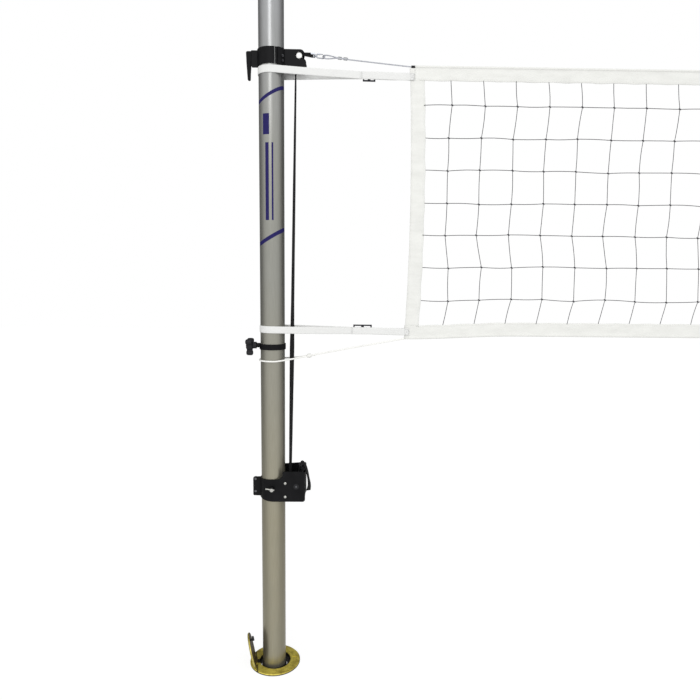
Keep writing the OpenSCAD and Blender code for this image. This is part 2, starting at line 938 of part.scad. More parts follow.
// Snap hook body: a webbing bar in a flat frame, a neck and an open hook on the cable line
module snap_hook() {
    bar_y = 16;
    frame_s = hook_bar_s + 8;
    on_cable_line()
        translate([0, 0, -strap_t / 2]) {
            y_rod(hook_bar_r, hook_bar_s, 0, -bar_y, bar_y);
            translate([0, 0, -hook_bar_r - 0.2])
                linear_extrude(2 * hook_bar_r + 0.4)
                    difference() {
                        translate([hook_bar_s - 3, -bar_y - 2]) square([14, 2 * bar_y + 4]);
                        translate([hook_bar_s - 4, -bar_y + 1.5]) square([10.5, 2 * bar_y - 3]);
                    }
            x_rod(4, 0, 0, frame_s, hook_arc_s0 - hook_arc_r - 1);
            translate([hook_arc_s0, 0, 0])
                rotate([90, 0, 0])
                    rotate([0, 0, 100])
                        rotate_extrude(angle = 170)
                            translate([hook_arc_r, 0]) circle(hook_rod_r);
            x_rod(hook_rod_r - 0.2, 0, -hook_arc_r, hook_arc_s0 - 0.5, hook_arc_s1 + 0.5);
            translate([hook_arc_s1, 0, 0])
                rotate([90, 0, 0])
                    rotate([0, 0, -90])
                        rotate_extrude(angle = 150)
                            translate([hook_arc_r, 0]) circle(hook_rod_r);
            difference() {
                translate([gate_s - 6, -4.2, hook_arc_r - 2.2]) cube([8.5, 8.4, 4.4]);
                translate([gate_s - 2.5, -2.9, 0]) cube([9, 5.8, 20]);
            }
            y_rod(gate_pin_r, gate_s, hook_arc_r, -4, 4);
        }
}

module snap_hooks() {
    color("#9da0a4")
        at_both() snap_hook();
}

// Sprung gate along the top of the hook
module hook_gate() {
    color("#b4b6b8")
        on_cable_line()
            translate([0, 0, hook_arc_r - strap_t / 2])
                difference() {
                    union() {
                        x_rod(1.5, 0, 0, gate_s, hook_arc_s1 + 0.4);
                        y_rod(2.1, gate_s, 0, -2.6, 2.6);
                    }
                    y_rod(gate_pin_r + slip, gate_s, 0, -5, 5);
                }
}

module winch_hook_gate() {
    hook_gate();
}

module far_hook_gate() {
    at_far() hook_gate();
}

// Centre line of one end of the cable: dead end, eye, then down the cable line into the hem
function eye_point(s, w) =
    let (q = on_line(s, w * cos(eye_tilt) - strap_t / 2)) [q[0], w * sin(eye_tilt), q[1]];
cable_end = concat(
    [eye_point(eye_end_s, eye_leg), eye_point(130, eye_leg), eye_point(120, 7.5), eye_point(108, 11)],
    [for (a = [90:30:270]) eye_point(eye_tip_s + eye_r + eye_r * cos(a), eye_r * sin(a))],
    [eye_point(108, -9), eye_point(119, -4), eye_point(129, 0), eye_point(eye_end_s + 10, 0)],
    [[line_x1, 0, line_z1], [line_x1 + 20, 0, line_z1]]
);

module net_cable() {
    color("#8f9296")
        sweep_tube(concat(cable_end, reversed([for (p = cable_end) far_x(p)])),
                   cable_d / 2, [0, cos(eye_tilt), -sin(eye_tilt)]);
}

// Crimped sleeves that close each eye
module cable_ferrules() {
    mid = eye_leg / 2;
    color("#84878b")
        at_both()
            on_cable_line()
                translate([0, 0, -strap_t / 2])
                    rotate([-eye_tilt, 0, 0])
                        for (s = [134, 154])
                            difference() {
                                union() {
                                    x_rod(4, 0, 0, s, s + 13);
                                    x_rod(4, 0, eye_leg, s, s + 13);
                                    translate([s, -4, 0]) cube([13, 8, eye_leg]);
                                }
                                x_rod(cable_d / 2 + 0.05, 0, 0, s - 1, s + 14);
                                x_rod(cable_d / 2 + 0.05, 0, eye_leg, s - 1, s + 14);
                            }
}

// Black sleeve on the cable where it enters the hem
module cable_sleeves() {
    color("#202224")
        at_both()
            difference() {
                x_rod(4.2, 0, line_z1, net_x0 + 5, net_x0 + notch_w - 0.5);
                x_rod(cable_d / 2 + 0.1, 0, line_z1, net_x0, net_x0 + 40);
            }
}

// ---- net ----

// Cords as crossing bars, the upright ones in front of the level ones
module net_mesh() {
    gap = 0.2;
    x_in = net_x0 + tape_w + gap;
    h = cord_d / 2;
    z0 = mesh_bottom_z + gap;
    z1 = mesh_top_z - gap;
    color("#26262a") {
        for (i = [0:mesh_cols - 1])
            translate([col_x(i) - h, -h, z0])
                cube([cord_d, h, z1 - z0]);
        for (j = [0:mesh_rows - 1])
            translate([x_in + bow(row_z(j)), 0, row_z(j) - h])
                cube([pole_spacing - 2 * (x_in + bow(row_z(j))), h, cord_d]);
    }
}

// Cross-section of a tape with its hem tube, drawn with the hem upward
module tape_section(line_r) {
    difference() {
        union() {
            translate([-tape_t / 2, -tape_w]) square([tape_t, tape_w - hem_drop]);
            translate([0, -hem_drop]) circle(hem_r, $fn = 32);
        }
        translate([0, -hem_drop]) circle(line_r, $fn = 32);
    }
}

// Tape along the whole net
module long_tape(line_r) {
    translate([net_x0, 0, 0])
        rotate([90, 0, 90])
            linear_extrude(net_x1 - net_x0)
                tape_section(line_r);
}

module top_tape() {
    color("#f3f3ee")
        difference() {
            translate([0, 0, net_top_z]) long_tape(cable_d / 2 + 0.4);
            at_both()
                translate([net_x0 - 1, -10, net_top_z - 2 * hem_drop])
                    cube([notch_w + 1, 20, 20]);
        }
}

module bottom_tape() {
    color("#f3f3ee")
        translate([0, 0, net_bottom_z])
            mirror([0, 0, 1])
                long_tape(rope_d / 2 + 0.3);
}

module side_tapes() {
    edge_n = 12;
    zs = [for (k = [0:edge_n]) mesh_bottom_z + (mesh_top_z - mesh_bottom_z) * k / edge_n];
    color("#f3f3ee")
        at_both()
            xz_plate(-tape_t / 2, tape_t / 2)
                polygon(concat([for (z = zs) [net_x0 + bow(z), z]],
                               [for (z = reversed(zs)) [net_x0 + tape_w + bow(z), z]]));
}

// ---- straps and rope ----

// Webbing looped round the pole, joined at the buckle and run on to the net
module strap_loop(join_x) {
    h = strap_t / 2;
    a = acos((strap_loop_r - h) / join_x);
    n = [cos(a), sin(a)];
    linear_extrude(strap_w, center = true) {
        difference() {
            circle(strap_loop_r + h);
            circle(strap_loop_r - h);
            away_wedge(a, 3 * strap_loop_r);
        }
        for (side = [0, 1])
            mirror([0, side, 0])
                polygon([(strap_loop_r + h) * n, (strap_loop_r - h) * n,
                         [join_x, 0], [join_x, 2 * h]]);
        translate([join_x - 1, -strap_t]) square([net_x0 - join_x - 1, 2 * strap_t]);
        for (side = [0, 1])
            mirror([0, side, 0])
                translate([net_x0 - 7, tape_t / 2 + 0.05]) square([24, strap_t]);
    }
}

module top_straps() {
    color("#f1f1ec")
        at_both()
            translate([0, 0, top_strap_z])
                rotate([0, top_strap_drop, 0])
                    strap_loop(top_join_x);
}

module bottom_straps() {
    color("#f1f1ec")
        at_both()
            translate([0, 0, bottom_strap_z])
                strap_loop(bottom_join_x);
}

// Cam buckle behind the joined webbing: a slotted plate with its lever
module buckle(join_x, w, edge) {
    h = 30;
    slot = (w - 18) / 2;
    translate([join_x + 2, strap_t, edge * 2.8 - h / 2]) {
        difference() {
            cube([w, 3, h]);
            for (x = [5, slot + 13])
                translate([x, -1, 5]) cube([slot, 6, h - 10]);
        }
        translate([slot + 4, 3, 2]) cube([10, 4, h - 4]);
    }
}

module strap_buckles() {
    color("#2b2b2e")
        at_both() {
            translate([0, 0, top_strap_z])
                rotate([0, top_strap_drop, 0])
                    buckle(top_join_x, 44, -1.5);
            translate([0, 0, bottom_strap_z]) buckle(bottom_join_x, 68, 1);
        }
}

// Centre line of one end of the rope: tail, round the pole, then up into the bottom hem
rope_rise = (net_bottom_z + hem_drop - rope_z) / (net_x0 - 2);
rope_end = concat(
    [[hitch_x + 22, 4, rope_z + 18], [hitch_x + 6, 3.3, rope_z + 17], [hitch_x - 6, 3.6, rope_z + 15.5]],
    [[hitch_x - 24, 7.5, rope_z + 12], [70, 24, rope_z + 6]],
    [for (a = [70:20:290]) [rope_wrap_r * cos(a), rope_wrap_r * sin(a), rope_z]],
    [[70, -24, rope_z + 6], [hitch_x - 24, -7.5, rope_z + 12]],
    [[hitch_x - 6, -3.6, rope_z + 15.5], [hitch_x + 6, -3.3, rope_z + 17], [hitch_x + 26, -2, rope_z + 22]],
    [[net_x0 - 2, 0, net_bottom_z + hem_drop], [net_x0 + 18, 0, net_bottom_z + hem_drop]]
);

module bottom_rope() {
    color("#f2f2ee")
        sweep_tube(concat(rope_end, reversed([for (p = rope_end) far_x(p)])), rope_d / 2, [0, 0, 1]);
}

// Two seizing rings that hold the rope's tail to its standing part
module rope_hitches() {
    color("#e9e9e3")
        at_both()
            for (dx = [-3.2, 3.2])
                translate([hitch_x + dx, 0, rope_z + 16.3 + dx * 0.1])
                    rotate([0, 90, 0])
                        rotate_extrude()
                            translate([9.4, 0]) circle(2.6, $fn = 24);
}

winch_pole();
far_pole();
pole_caps();
pole_feet();
winch_sleeve();
far_sleeve();
winch_floor_plate();
far_floor_plate();
lid_hinge_pins();
winch_lid();
far_lid();
winch_lid_latch();
far_lid_latch();
winch_front_plate();
winch_rear_plate();
winch_end_wall();
winch_clamp_bolts();
winch_spacer_bolts();
drum_bushes();
pawl_pin();
pawl();
belt_drum();
ratchet_wheel();
belt_roll();
belt_tail();
clamp_screw();
tommy_bar();
lift_belt();
belt_end();
pulley();
pulley_axle();
winch_collar_band();
far_collar_band();
winch_collar_bracket();
far_collar_bracket();
collar_screws();
winch_collar_lever();
far_collar_lever();
lower_collars();
winch_collar_knob();
far_collar_knob();
anchor_pin();
anchor_strap();
snap_hooks();
winch_hook_gate();
far_hook_gate();
net_cable();
cable_ferrules();
cable_sleeves();
net_mesh();
top_tape();
bottom_tape();
side_tapes();
top_straps();
bottom_straps();
strap_buckles();
bottom_rope();
rope_hitches();
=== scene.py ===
import json
import math
import random

import bpy
from mathutils import Matrix, Vector


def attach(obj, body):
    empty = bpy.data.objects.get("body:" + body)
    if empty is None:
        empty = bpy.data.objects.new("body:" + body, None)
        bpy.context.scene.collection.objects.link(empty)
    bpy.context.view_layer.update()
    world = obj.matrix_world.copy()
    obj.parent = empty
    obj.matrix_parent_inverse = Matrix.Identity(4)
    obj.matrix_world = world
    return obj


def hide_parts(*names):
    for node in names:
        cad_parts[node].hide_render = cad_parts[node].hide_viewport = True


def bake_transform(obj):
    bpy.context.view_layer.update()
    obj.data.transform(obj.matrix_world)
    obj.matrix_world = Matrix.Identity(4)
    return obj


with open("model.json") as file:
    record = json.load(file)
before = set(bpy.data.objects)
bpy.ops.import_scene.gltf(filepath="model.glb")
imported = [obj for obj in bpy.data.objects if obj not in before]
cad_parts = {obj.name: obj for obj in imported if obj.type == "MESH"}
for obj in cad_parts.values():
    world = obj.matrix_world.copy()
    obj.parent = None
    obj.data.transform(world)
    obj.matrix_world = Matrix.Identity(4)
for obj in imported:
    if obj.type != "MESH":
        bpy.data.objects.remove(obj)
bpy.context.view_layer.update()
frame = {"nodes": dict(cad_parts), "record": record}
nodes = frame["nodes"]

# ---- sizes, in metres, as in the CAD model ----
SPAN = 10.722
POLE_R = 0.04445
NET_TOP = 2.240
NET_BOTTOM = 1.285
NET_X0 = 0.484
NET_X1 = SPAN - NET_X0
TAPE_W = 0.051
TAPE_T = 0.004
STRAP_W = 0.0254
STRAP_T = 0.0024
SNUG = 0.0003
WINCH_Z = 0.728
DRUM_X = 0.089
PULLEY = (0.0975, 2.2625)
WRAP_R = 0.0115
HEM_DROP = 0.0045
HEM_R = 0.0045
BOW = 0.012
ROWS, COLS = 7, 83
LINE_END = (NET_X0 + 0.002, NET_TOP - HEM_DROP)
LINE_DROP = math.atan((PULLEY[1] + WRAP_R - LINE_END[1]) / (LINE_END[0] - PULLEY[0]))


def on_line(s, n):
    """Place (x, z) by the cable line: s along it from the pulley, n above the belt's middle line."""
    c, d = math.cos(LINE_DROP), math.sin(LINE_DROP)
    return PULLEY[0] + s * c + (WRAP_R + n) * d, PULLEY[1] - s * d + (WRAP_R + n) * c


def bow(z):
    """How far a side tape is drawn in towards the net's middle at height z."""
    return BOW * (1 - ((z - (NET_TOP + NET_BOTTOM) / 2) / ((NET_TOP - NET_BOTTOM) / 2)) ** 2)


def far(p):
    """The same place mirrored to the far side."""
    return Vector((SPAN - p[0], p[1], p[2]))


# ---- camera ----
YAW, PITCH, ROLL = math.radians(0.98), math.radians(7.15), math.radians(0.6)
EYE = (0.2463, -2.2426, 1.517)
fwd = Vector((math.sin(YAW) * math.cos(PITCH), math.cos(YAW) * math.cos(PITCH), -math.sin(PITCH)))
right = Vector((math.cos(YAW), -math.sin(YAW), 0))
up = right.cross(fwd)
r2 = right * math.cos(ROLL) + up * math.sin(ROLL)
u2 = up * math.cos(ROLL) - right * math.sin(ROLL)
cam = bpy.data.objects.new("camera", bpy.data.cameras.new("camera"))
cam.data.sensor_width = 36
cam.data.lens = 31.467
cam.data.clip_end = 200
cam.matrix_world = Matrix.Translation(EYE) @ Matrix((r2, u2, -fwd)).transposed().to_4x4()
bpy.context.collection.objects.link(cam)
bpy.context.scene.camera = cam


# ---- node materials ----
class Mat:
    """A procedural material; each method adds a node and gives back its output socket."""

    def __init__(self, name, rough=0.5, metal=0.0, sheen=0.0, gloss=0.5):
        self.m = bpy.data.materials.new(name)
        self.m.use_nodes = True
        self.nt = self.m.node_tree
        self.b = self.nt.nodes["Principled BSDF"]
        self.b.inputs["Roughness"].default_value = rough
        self.b.inputs["Metallic"].default_value = metal
        self.b.inputs["Sheen Weight"].default_value = sheen
        self.b.inputs["Specular IOR Level"].default_value = gloss
        self.tc = self.nt.nodes.new("ShaderNodeTexCoord")
        self.obj = self.tc.outputs["Object"]
        self.uv = self.tc.outputs["UV"]

    def put(self, socket, value):
        if isinstance(value, bpy.types.NodeSocket):
            self.nt.links.new(value, socket)
        else:
            socket.default_value = value

    def math(self, op, a, b=0.0, c=0.0):
        n = self.nt.nodes.new("ShaderNodeMath")
        n.operation = op
        for socket, v in zip(n.inputs, (a, b, c)):
            self.put(socket, v)
        return n.outputs[0]

    def vec(self, x, y, z):
        n = self.nt.nodes.new("ShaderNodeCombineXYZ")
        for socket, v in zip(n.inputs, (x, y, z)):
            self.put(socket, v)
        return n.outputs[0]

    def xyz(self, vec):
        n = self.nt.nodes.new("ShaderNodeSeparateXYZ")
        self.put(n.inputs[0], vec)
        return n.outputs

    def scaled(self, vec, s):
        n = self.nt.nodes.new("ShaderNodeMapping")
        self.put(n.inputs["Vector"], vec)
        n.inputs["Scale"].default_value = s
        return n.outputs[0]

    def noise(self, vec, scale, detail=3.0, rough=0.55):
        n = self.nt.nodes.new("ShaderNodeTexNoise")
        self.put(n.inputs["Vector"], vec)
        n.inputs["Scale"].default_value = scale
        n.inputs["Detail"].default_value = detail
        n.inputs["Roughness"].default_value = rough
        return n.outputs["Fac"]

    def ramp(self, fac, *stops):
        n = self.nt.nodes.new("ShaderNodeValToRGB")
        self.put(n.inputs[0], fac)
        e = n.color_ramp.elements
        while len(e) < len(stops):
            e.new(0.5)
        for el, (pos, col) in zip(e, stops):
            el.position = pos
            el.color = (*col, 1)
        return n.outputs[0]

    def mix(self, fac, a, b):
        n = self.nt.nodes.new("ShaderNodeMix")
        n.data_type = "RGBA"
        self.put(n.inputs[0], fac)
        for socket, v in ((n.inputs[6], a), (n.inputs[7], b)):
            self.put(socket, (*v, 1) if isinstance(v, tuple) else v)
        return n.outputs[2]

    def span(self, v, lo, hi, to_lo=0.0, to_hi=1.0):
        n = self.nt.nodes.new("ShaderNodeMapRange")
        self.put(n.inputs[0], v)
        for k, x in enumerate((lo, hi, to_lo, to_hi)):
            n.inputs[k + 1].default_value = x
        return n.outputs[0]

    def mirrored_x(self):
        """X as on the winch side: the far half of the object folded over the middle."""
        from_middle = self.math("ABSOLUTE", self.math("SUBTRACT", self.xyz(self.obj)[0], SPAN / 2))
        return self.math("SUBTRACT", SPAN / 2, from_middle)

    def wave(self, v, period):
        return self.math("SINE", self.math("MULTIPLY", v, 2 * math.pi / period))

    def finish(self, colour, rough=None, height=None, strength=0.3, distance=0.0005):
        self.put(self.b.inputs["Base Color"], colour)
        if rough is not None:
            self.put(self.b.inputs["Roughness"], rough)
        if height is not None:
            n = self.nt.nodes.new("ShaderNodeBump")
            n.inputs["Strength"].default_value = strength
            n.inputs["Distance"].default_value = distance
            self.put(n.inputs["Height"], height)
            self.put(self.b.inputs["Normal"], n.outputs[0])
        return self.m


def metal_mat(name, dark, light, rough):
    """Metal with uneven tone, fine grain and cloudy gloss."""
    m = Mat(name, metal=1.0)
    grainy = m.noise(m.obj, 480, 4)
    cloudy = m.noise(m.obj, 21, 3)
    tone = m.math("ADD", m.math("MULTIPLY", grainy, 0.45), m.math("MULTIPLY", cloudy, 0.55))
    colour = m.ramp(tone, (0.3, dark), (0.7, light))
    r = m.span(m.math("ADD", m.math("MULTIPLY", cloudy, 0.7), m.math("MULTIPLY", grainy, 0.3)),
               0.3, 0.7, rough[0], rough[1])
    return m.finish(colour, r, grainy, 0.15, 0.0002)


def painted_mat(name, colour):
    """Powder coat: fine orange-peel bumps, cloudy gloss and a few rubbed spots."""
    m = Mat(name, gloss=0.10)
    peel = m.noise(m.obj, 900, 2)
    cloudy = m.noise(m.obj, 18, 4)
    rubbed = m.noise(m.obj, 110, 5, 0.7)
    light = tuple(c * 1.6 + 0.003 for c in colour)
    worn = tuple(c * 2.4 + 0.02 for c in colour)
    base = m.ramp(cloudy, (0.35, colour), (0.72, light))
    spots = m.span(rubbed, 0.64, 0.74)
    out = m.mix(m.math("MULTIPLY", spots, 0.6), base, worn)
    return m.finish(out, m.span(cloudy, 0.3, 0.7, 0.42, 0.58), peel, 0.14, 0.0002)


# how far the floor ring sits off the pole's centre, along x and along y
RING_SHIFT = 0.003


def brass_mat():
    """Worn brass of a floor ring: round brushing, stained patches, and painted shade, near black, on all of
    it below about 4 mm, down in the cup and round its foot.
    """
    m = Mat("plate_brass", metal=0.5)
    _, y, z = m.xyz(m.obj)
    dx = m.math("SUBTRACT", m.mirrored_x(), RING_SHIFT)
    dy = m.math("SUBTRACT", y, RING_SHIFT)
    radius = m.math("SQRT", m.math("ADD", m.math("MULTIPLY", dx, dx), m.math("MULTIPLY", dy, dy)))
    brushing = m.noise(m.vec(m.math("MULTIPLY", radius, 900), m.math("MULTIPLY", dx, 12), 0.0), 1.0, 3)
    stains = m.noise(m.obj, 34, 5, 0.65)
    fine = m.noise(m.obj, 260, 3)
    colour = m.ramp(brushing, (0.3, (0.46, 0.37, 0.045)), (0.7, (0.90, 0.76, 0.15)))
    colour = m.mix(m.span(stains, 0.46, 0.68), colour, (0.30, 0.225, 0.03))
    # painted shade: everything below about 4 mm, down in the cup and round the ring's foot, goes near black
    # and rougher
    grime_and_shade = m.span(z, 0.0044, 0.0030)
    colour = m.mix(grime_and_shade, colour, m.ramp(fine, (0.3, (0.012, 0.010, 0.009)), (0.7, (0.055, 0.05, 0.045))))
    rough = m.math("ADD", m.span(stains, 0.3, 0.7, 0.26, 0.44), m.math("MULTIPLY", grime_and_shade, 0.3))
    return m.finish(colour, rough, m.math("ADD", brushing, fine), 0.12, 0.0002)


# the way that the open lid's underside faces, and a place on its hinge
LID_UNDER = Vector((0.9596, 0.1692, 0.2250))
LID_HINGE = Vector((-0.0689, -0.0097, 0.005))


def lid_mat():
    """Worn brass of a lid, with painted shade in dark brown on its underside; the lids stand open, leaning
    away from the pole.
    """
    m = Mat("lid_brass", metal=0.6)
    _, y, z = m.xyz(m.obj)
    along_yz = m.math("ADD", m.math("MULTIPLY", y, LID_UNDER.y), m.math("MULTIPLY", z, LID_UNDER.z))
    reach = m.math("ADD", m.math("MULTIPLY", m.mirrored_x(), LID_UNDER.x), along_yz)
    depth = m.math("SUBTRACT", reach, LID_UNDER.dot(LID_HINGE))
    stains = m.noise(m.obj, 42, 5, 0.65)
    fine = m.noise(m.obj, 300, 3)
    colour = m.ramp(m.math("ADD", m.math("MULTIPLY", fine, 0.5), m.math("MULTIPLY", stains, 0.5)),
                    (0.38, (0.26, 0.21, 0.035)), (0.6, (0.60, 0.51, 0.14)))
    # painted shade: the lid's underside is darkened to a dark brown and made rougher
    underside_shade = m.span(depth, -0.0032, -0.0020)
    colour = m.mix(underside_shade, colour, m.ramp(fine, (0.3, (0.045, 0.030, 0.012)), (0.7, (0.13, 0.095, 0.035))))
    rough = m.math("ADD", m.span(stains, 0.3, 0.7, 0.25, 0.42), m.math("MULTIPLY", underside_shade, 0.25))
    return m.finish(colour, rough, fine, 0.12, 0.0002)


def webbing_mat(name, base, light, stain, sheen=0.2):
    """Woven webbing from its UVs in metres: ribs along it, a twill across them and worn fibre tone."""
    period = 0.0021
    m = Mat(name, rough=0.82, sheen=sheen, gloss=0.2)
    u, v, _ = m.xyz(m.uv)
    ribs = m.math("ABSOLUTE", m.wave(u, period * 2))
    side = m.math("ABSOLUTE", m.math("SUBTRACT", m.math("FRACT", m.math("DIVIDE", u, period)), 0.5))
    twill = m.wave(m.math("ADD", v, m.math("MULTIPLY", side, period)), period * 0.8)
    weave = m.math("MULTIPLY", ribs, m.math("ADD", m.math("MULTIPLY", twill, 0.3), 0.7))
    fuzz = m.noise(m.obj, 2600, 2)
    cloud = m.noise(m.obj, 22, 4)
    colour = m.mix(m.span(weave, 0.1, 0.9), base, light)
    colour = m.mix(m.math("MULTIPLY", m.span(cloud, 0.45, 0.75), 0.35), colour, stain)
    height = m.math("ADD", weave, m.math("MULTIPLY", fuzz, 0.35))
    return m.finish(colour, m.span(fuzz, 0.3, 0.7, 0.72, 0.92), height, 0.55, 0.0004)


def tape_mat():
    """White coated tape: fine plain weave, two rows of stitches and slight creases."""
    m = Mat("white_tape", rough=0.6, sheen=0.08, gloss=0.2)
    u, v, _ = m.xyz(m.uv)
    weave = m.math("MULTIPLY", m.wave(u, 0.0012), m.wave(v, 0.0012))
    dash = m.math("GREATER_THAN", m.math("FRACT", m.math("DIVIDE", v, 0.006)), 0.35)
    rows = None
    for at in (0.006, 0.045):
        near = m.math("LESS_THAN", m.math("ABSOLUTE", m.math("SUBTRACT", u, at)), 0.0007)
        rows = near if rows is None else m.math("MAXIMUM", rows, near)
    stitch = m.math("MULTIPLY", rows, dash)
    crease = m.noise(m.scaled(m.obj, (1, 1, 3)), 14, 5, 0.6)
    colour = m.ramp(crease, (0.25, (0.65, 0.652, 0.625)), (0.6, (0.715, 0.718, 0.69)))
    colour = m.mix(m.math("MULTIPLY", rows, 0.16), colour, (0.66, 0.66, 0.64))
    height = m.math("ADD", m.math("MULTIPLY", weave, 0.12), m.math("MULTIPLY", stitch, 0.9))
    height = m.math("ADD", height, m.math("MULTIPLY", crease, 1.6))
    return m.finish(colour, m.span(crease, 0.3, 0.7, 0.5, 0.68), height, 0.5, 0.0006)


def pole_mat():
    """Satin anodised alloy: drawn grain along the pole and plain indigo bars on it; lighter and bluer at the
    top as a painted highlight, warmer below as a painted reflection of the brass floor ring.
    """
    m = Mat("pole_alloy", gloss=0.10)
    x, y, z = m.xyz(m.obj)
    grain = m.noise(m.scaled(m.obj, (1, 1, 0.02)), 900, 3)
    blot = m.noise(m.scaled(m.obj, (1, 1, 0.25)), 26, 4)
    # painted light: the top tone is lighter and bluer as a painted highlight and the low tone warmer as a
    # painted reflection of the brass floor ring; the middle grey is the alloy's own colour
    top_highlight_tone = m.ramp(grain, (0.3, (0.28, 0.285, 0.29)), (0.7, (0.33, 0.335, 0.34)))
    grey = m.ramp(grain, (0.3, (0.235, 0.235, 0.21)), (0.7, (0.275, 0.275, 0.25)))
    brass_reflection_tone = m.ramp(grain, (0.3, (0.255, 0.236, 0.172)), (0.7, (0.295, 0.276, 0.21)))
    colour = m.mix(m.span(z, 2.40, 1.85), top_highlight_tone, grey)
    colour = m.mix(m.span(z, 1.5, 0.6), colour, brass_reflection_tone)
    colour = m.mix(m.math("MULTIPLY", m.span(blot, 0.5, 0.75), 0.14), colour, (0.20, 0.20, 0.17))
    # two slanted rings
    slant = m.math("SUBTRACT", z, m.math("MULTIPLY", x, 0.60))
    marks = None

    def add(mask):
        nonlocal marks
        marks = mask if marks is None else m.math("MAXIMUM", marks, mask)

    for at, half in ((2.128, 0.0065), (1.642, 0.0075)):
        add(m.math("LESS_THAN", m.math("ABSOLUTE", m.math("SUBTRACT", slant, at)), half))
    front = m.math("LESS_THAN", y, 0.0)

    def bar(x0, x1, z0, z1):
        a = m.math("LESS_THAN", m.math("ABSOLUTE", m.math("SUBTRACT", x, (x0 + x1) / 2)), (x1 - x0) / 2)
        b = m.math("LESS_THAN", m.math("ABSOLUTE", m.math("SUBTRACT", z, (z0 + z1) / 2)), (z1 - z0) / 2)
        add(m.math("MULTIPLY", m.math("MULTIPLY", a, b), front))

    bar(-0.026, -0.004, 1.992, 2.062)
    bar(0.004, 0.010, 1.70, 1.965)
    bar(-0.018, -0.006, 1.70, 1.965)
    edge = m.noise(m.obj, 400, 2)
    ink = m.mix(m.span(edge, 0.35, 0.7), (0.005, 0.003, 0.070), (0.012, 0.008, 0.105))
    colour = m.mix(m.math("MULTIPLY", marks, 0.97), colour, ink)
    m.put(m.b.inputs["Metallic"], m.math("MULTIPLY", m.math("SUBTRACT", 1.0, marks), 0.7))
    rough = m.math("ADD", m.span(grain, 0.3, 0.7, 0.30, 0.38), m.math("MULTIPLY", marks, 0.08))
    return m.finish(colour, rough, grain, 0.06, 0.0002)


def cord_mat(name, dark, light, twist, turns, sheen=0.15):
    """Laid or braided line from its UVs: u is the turn around it, v the length."""
    m = Mat(name, sheen=sheen)
    u, v, _ = m.xyz(m.uv)
    a = m.wave(m.math("ADD", m.math("MULTIPLY", u, turns), m.math("DIVIDE", v, twist)), 1.0)
    b = m.wave(m.math("SUBTRACT", m.math("MULTIPLY", u, turns), m.math("DIVIDE", v, twist)), 1.0)
    strand = m.math("ABSOLUTE", m.math("MULTIPLY", a, b))
    fuzz = m.noise(m.obj, 3000, 2)
    cloud = m.noise(m.obj, 30, 3)
    colour = m.mix(m.span(strand, 0.05, 0.7), dark, light)
    colour = m.mix(m.math("MULTIPLY", m.span(cloud, 0.4, 0.75), 0.3), colour, dark)
    height = m.math("ADD", strand, m.math("MULTIPLY", fuzz, 0.3))
    return m.finish(colour, m.span(fuzz, 0.3, 0.7, 0.65, 0.85), height, 0.5, 0.0005)


def cable_mat():
    """Wire rope: strands laid round it from its UVs, darker between them."""
    m = Mat("cable_steel", metal=0.9, rough=0.4)
    u, v, _ = m.xyz(m.uv)
    wires = m.wave(m.math("ADD", m.math("MULTIPLY", u, 18), m.math("DIVIDE", v, 0.011)), 1.0)
    grime_and_shade = m.noise(m.obj, 500, 4)
    colour = m.ramp(grime_and_shade, (0.3, (0.36, 0.37, 0.41)), (0.7, (0.66, 0.68, 0.74)))
    colour = m.mix(m.span(wires, -0.9, -0.2, 0.6, 0.0), colour, (0.13, 0.13, 0.14))
    return m.finish(colour, m.span(grime_and_shade, 0.3, 0.7, 0.3, 0.5), wires, 0.4, 0.0002)


def plastic_mat(name, dark, light, rough=(0.45, 0.6), gloss=0.2):
    """Moulded plastic: fine spark-eroded grain and cloudy tone."""
    m = Mat(name, gloss=gloss)
    grain = m.noise(m.obj, 1400, 2)
    cloud = m.noise(m.obj, 25, 4)
    colour = m.ramp(cloud, (0.3, dark), (0.75, light))
    return m.finish(colour, m.span(cloud, 0.3, 0.7, *rough), grain, 0.18, 0.0002)


M = {
    "pole_alloy": pole_mat(),
    "black_plastic": plastic_mat("black_plastic", (0.008, 0.008, 0.009), (0.018, 0.018, 0.020)),
    # the sleeve's steel is darker than bare steel as painted shade, for the sleeve down in the gap round the
    # pole
    "sleeve_steel": metal_mat("sleeve_steel", (0.035, 0.034, 0.036), (0.11, 0.11, 0.115), (0.4, 0.6)),
    "plate_brass": brass_mat(),
    "latch_black": plastic_mat("latch_black", (0.008, 0.008, 0.009), (0.022, 0.022, 0.025)),
    "black_paint": painted_mat("black_paint", (0.0030, 0.0030, 0.0036)),
    "zinc_steel": metal_mat("zinc_steel", (0.34, 0.34, 0.32), (0.52, 0.52, 0.49), (0.24, 0.4)),
    "dark_steel": metal_mat("dark_steel", (0.05, 0.05, 0.055), (0.16, 0.16, 0.17), (0.32, 0.48)),
    "pulley_nylon": plastic_mat("pulley_nylon", (0.80, 0.80, 0.77), (0.92, 0.92, 0.9), (0.3, 0.42), 0.5),
    "knob_plastic": plastic_mat("knob_plastic", (0.007, 0.007, 0.009), (0.018, 0.018, 0.021), (0.4, 0.52)),
    "black_webbing": webbing_mat("black_webbing", (0.0025, 0.0025, 0.003), (0.009, 0.009, 0.010),
                                 (0.014, 0.014, 0.015), sheen=0.02),
    "hook_zinc": metal_mat("hook_zinc", (0.17, 0.18, 0.20), (0.46, 0.48, 0.52), (0.3, 0.45)),
    "cable_steel": cable_mat(),
    "net_cord": cord_mat("net_cord", (0.014, 0.014, 0.018), (0.060, 0.060, 0.072), 0.006, 3, sheen=0.05),
    "white_tape": tape_mat(),
    "white_webbing": webbing_mat("white_webbing", (0.64, 0.643, 0.63), (0.77, 0.775, 0.765),
                                 (0.62, 0.622, 0.61)),
    "buckle_black": painted_mat("buckle_black", (0.010, 0.010, 0.014)),
    "white_rope": cord_mat("white_rope", (0.70, 0.70, 0.67), (0.95, 0.95, 0.92), 0.009, 4),
}
lid_brass = lid_mat()
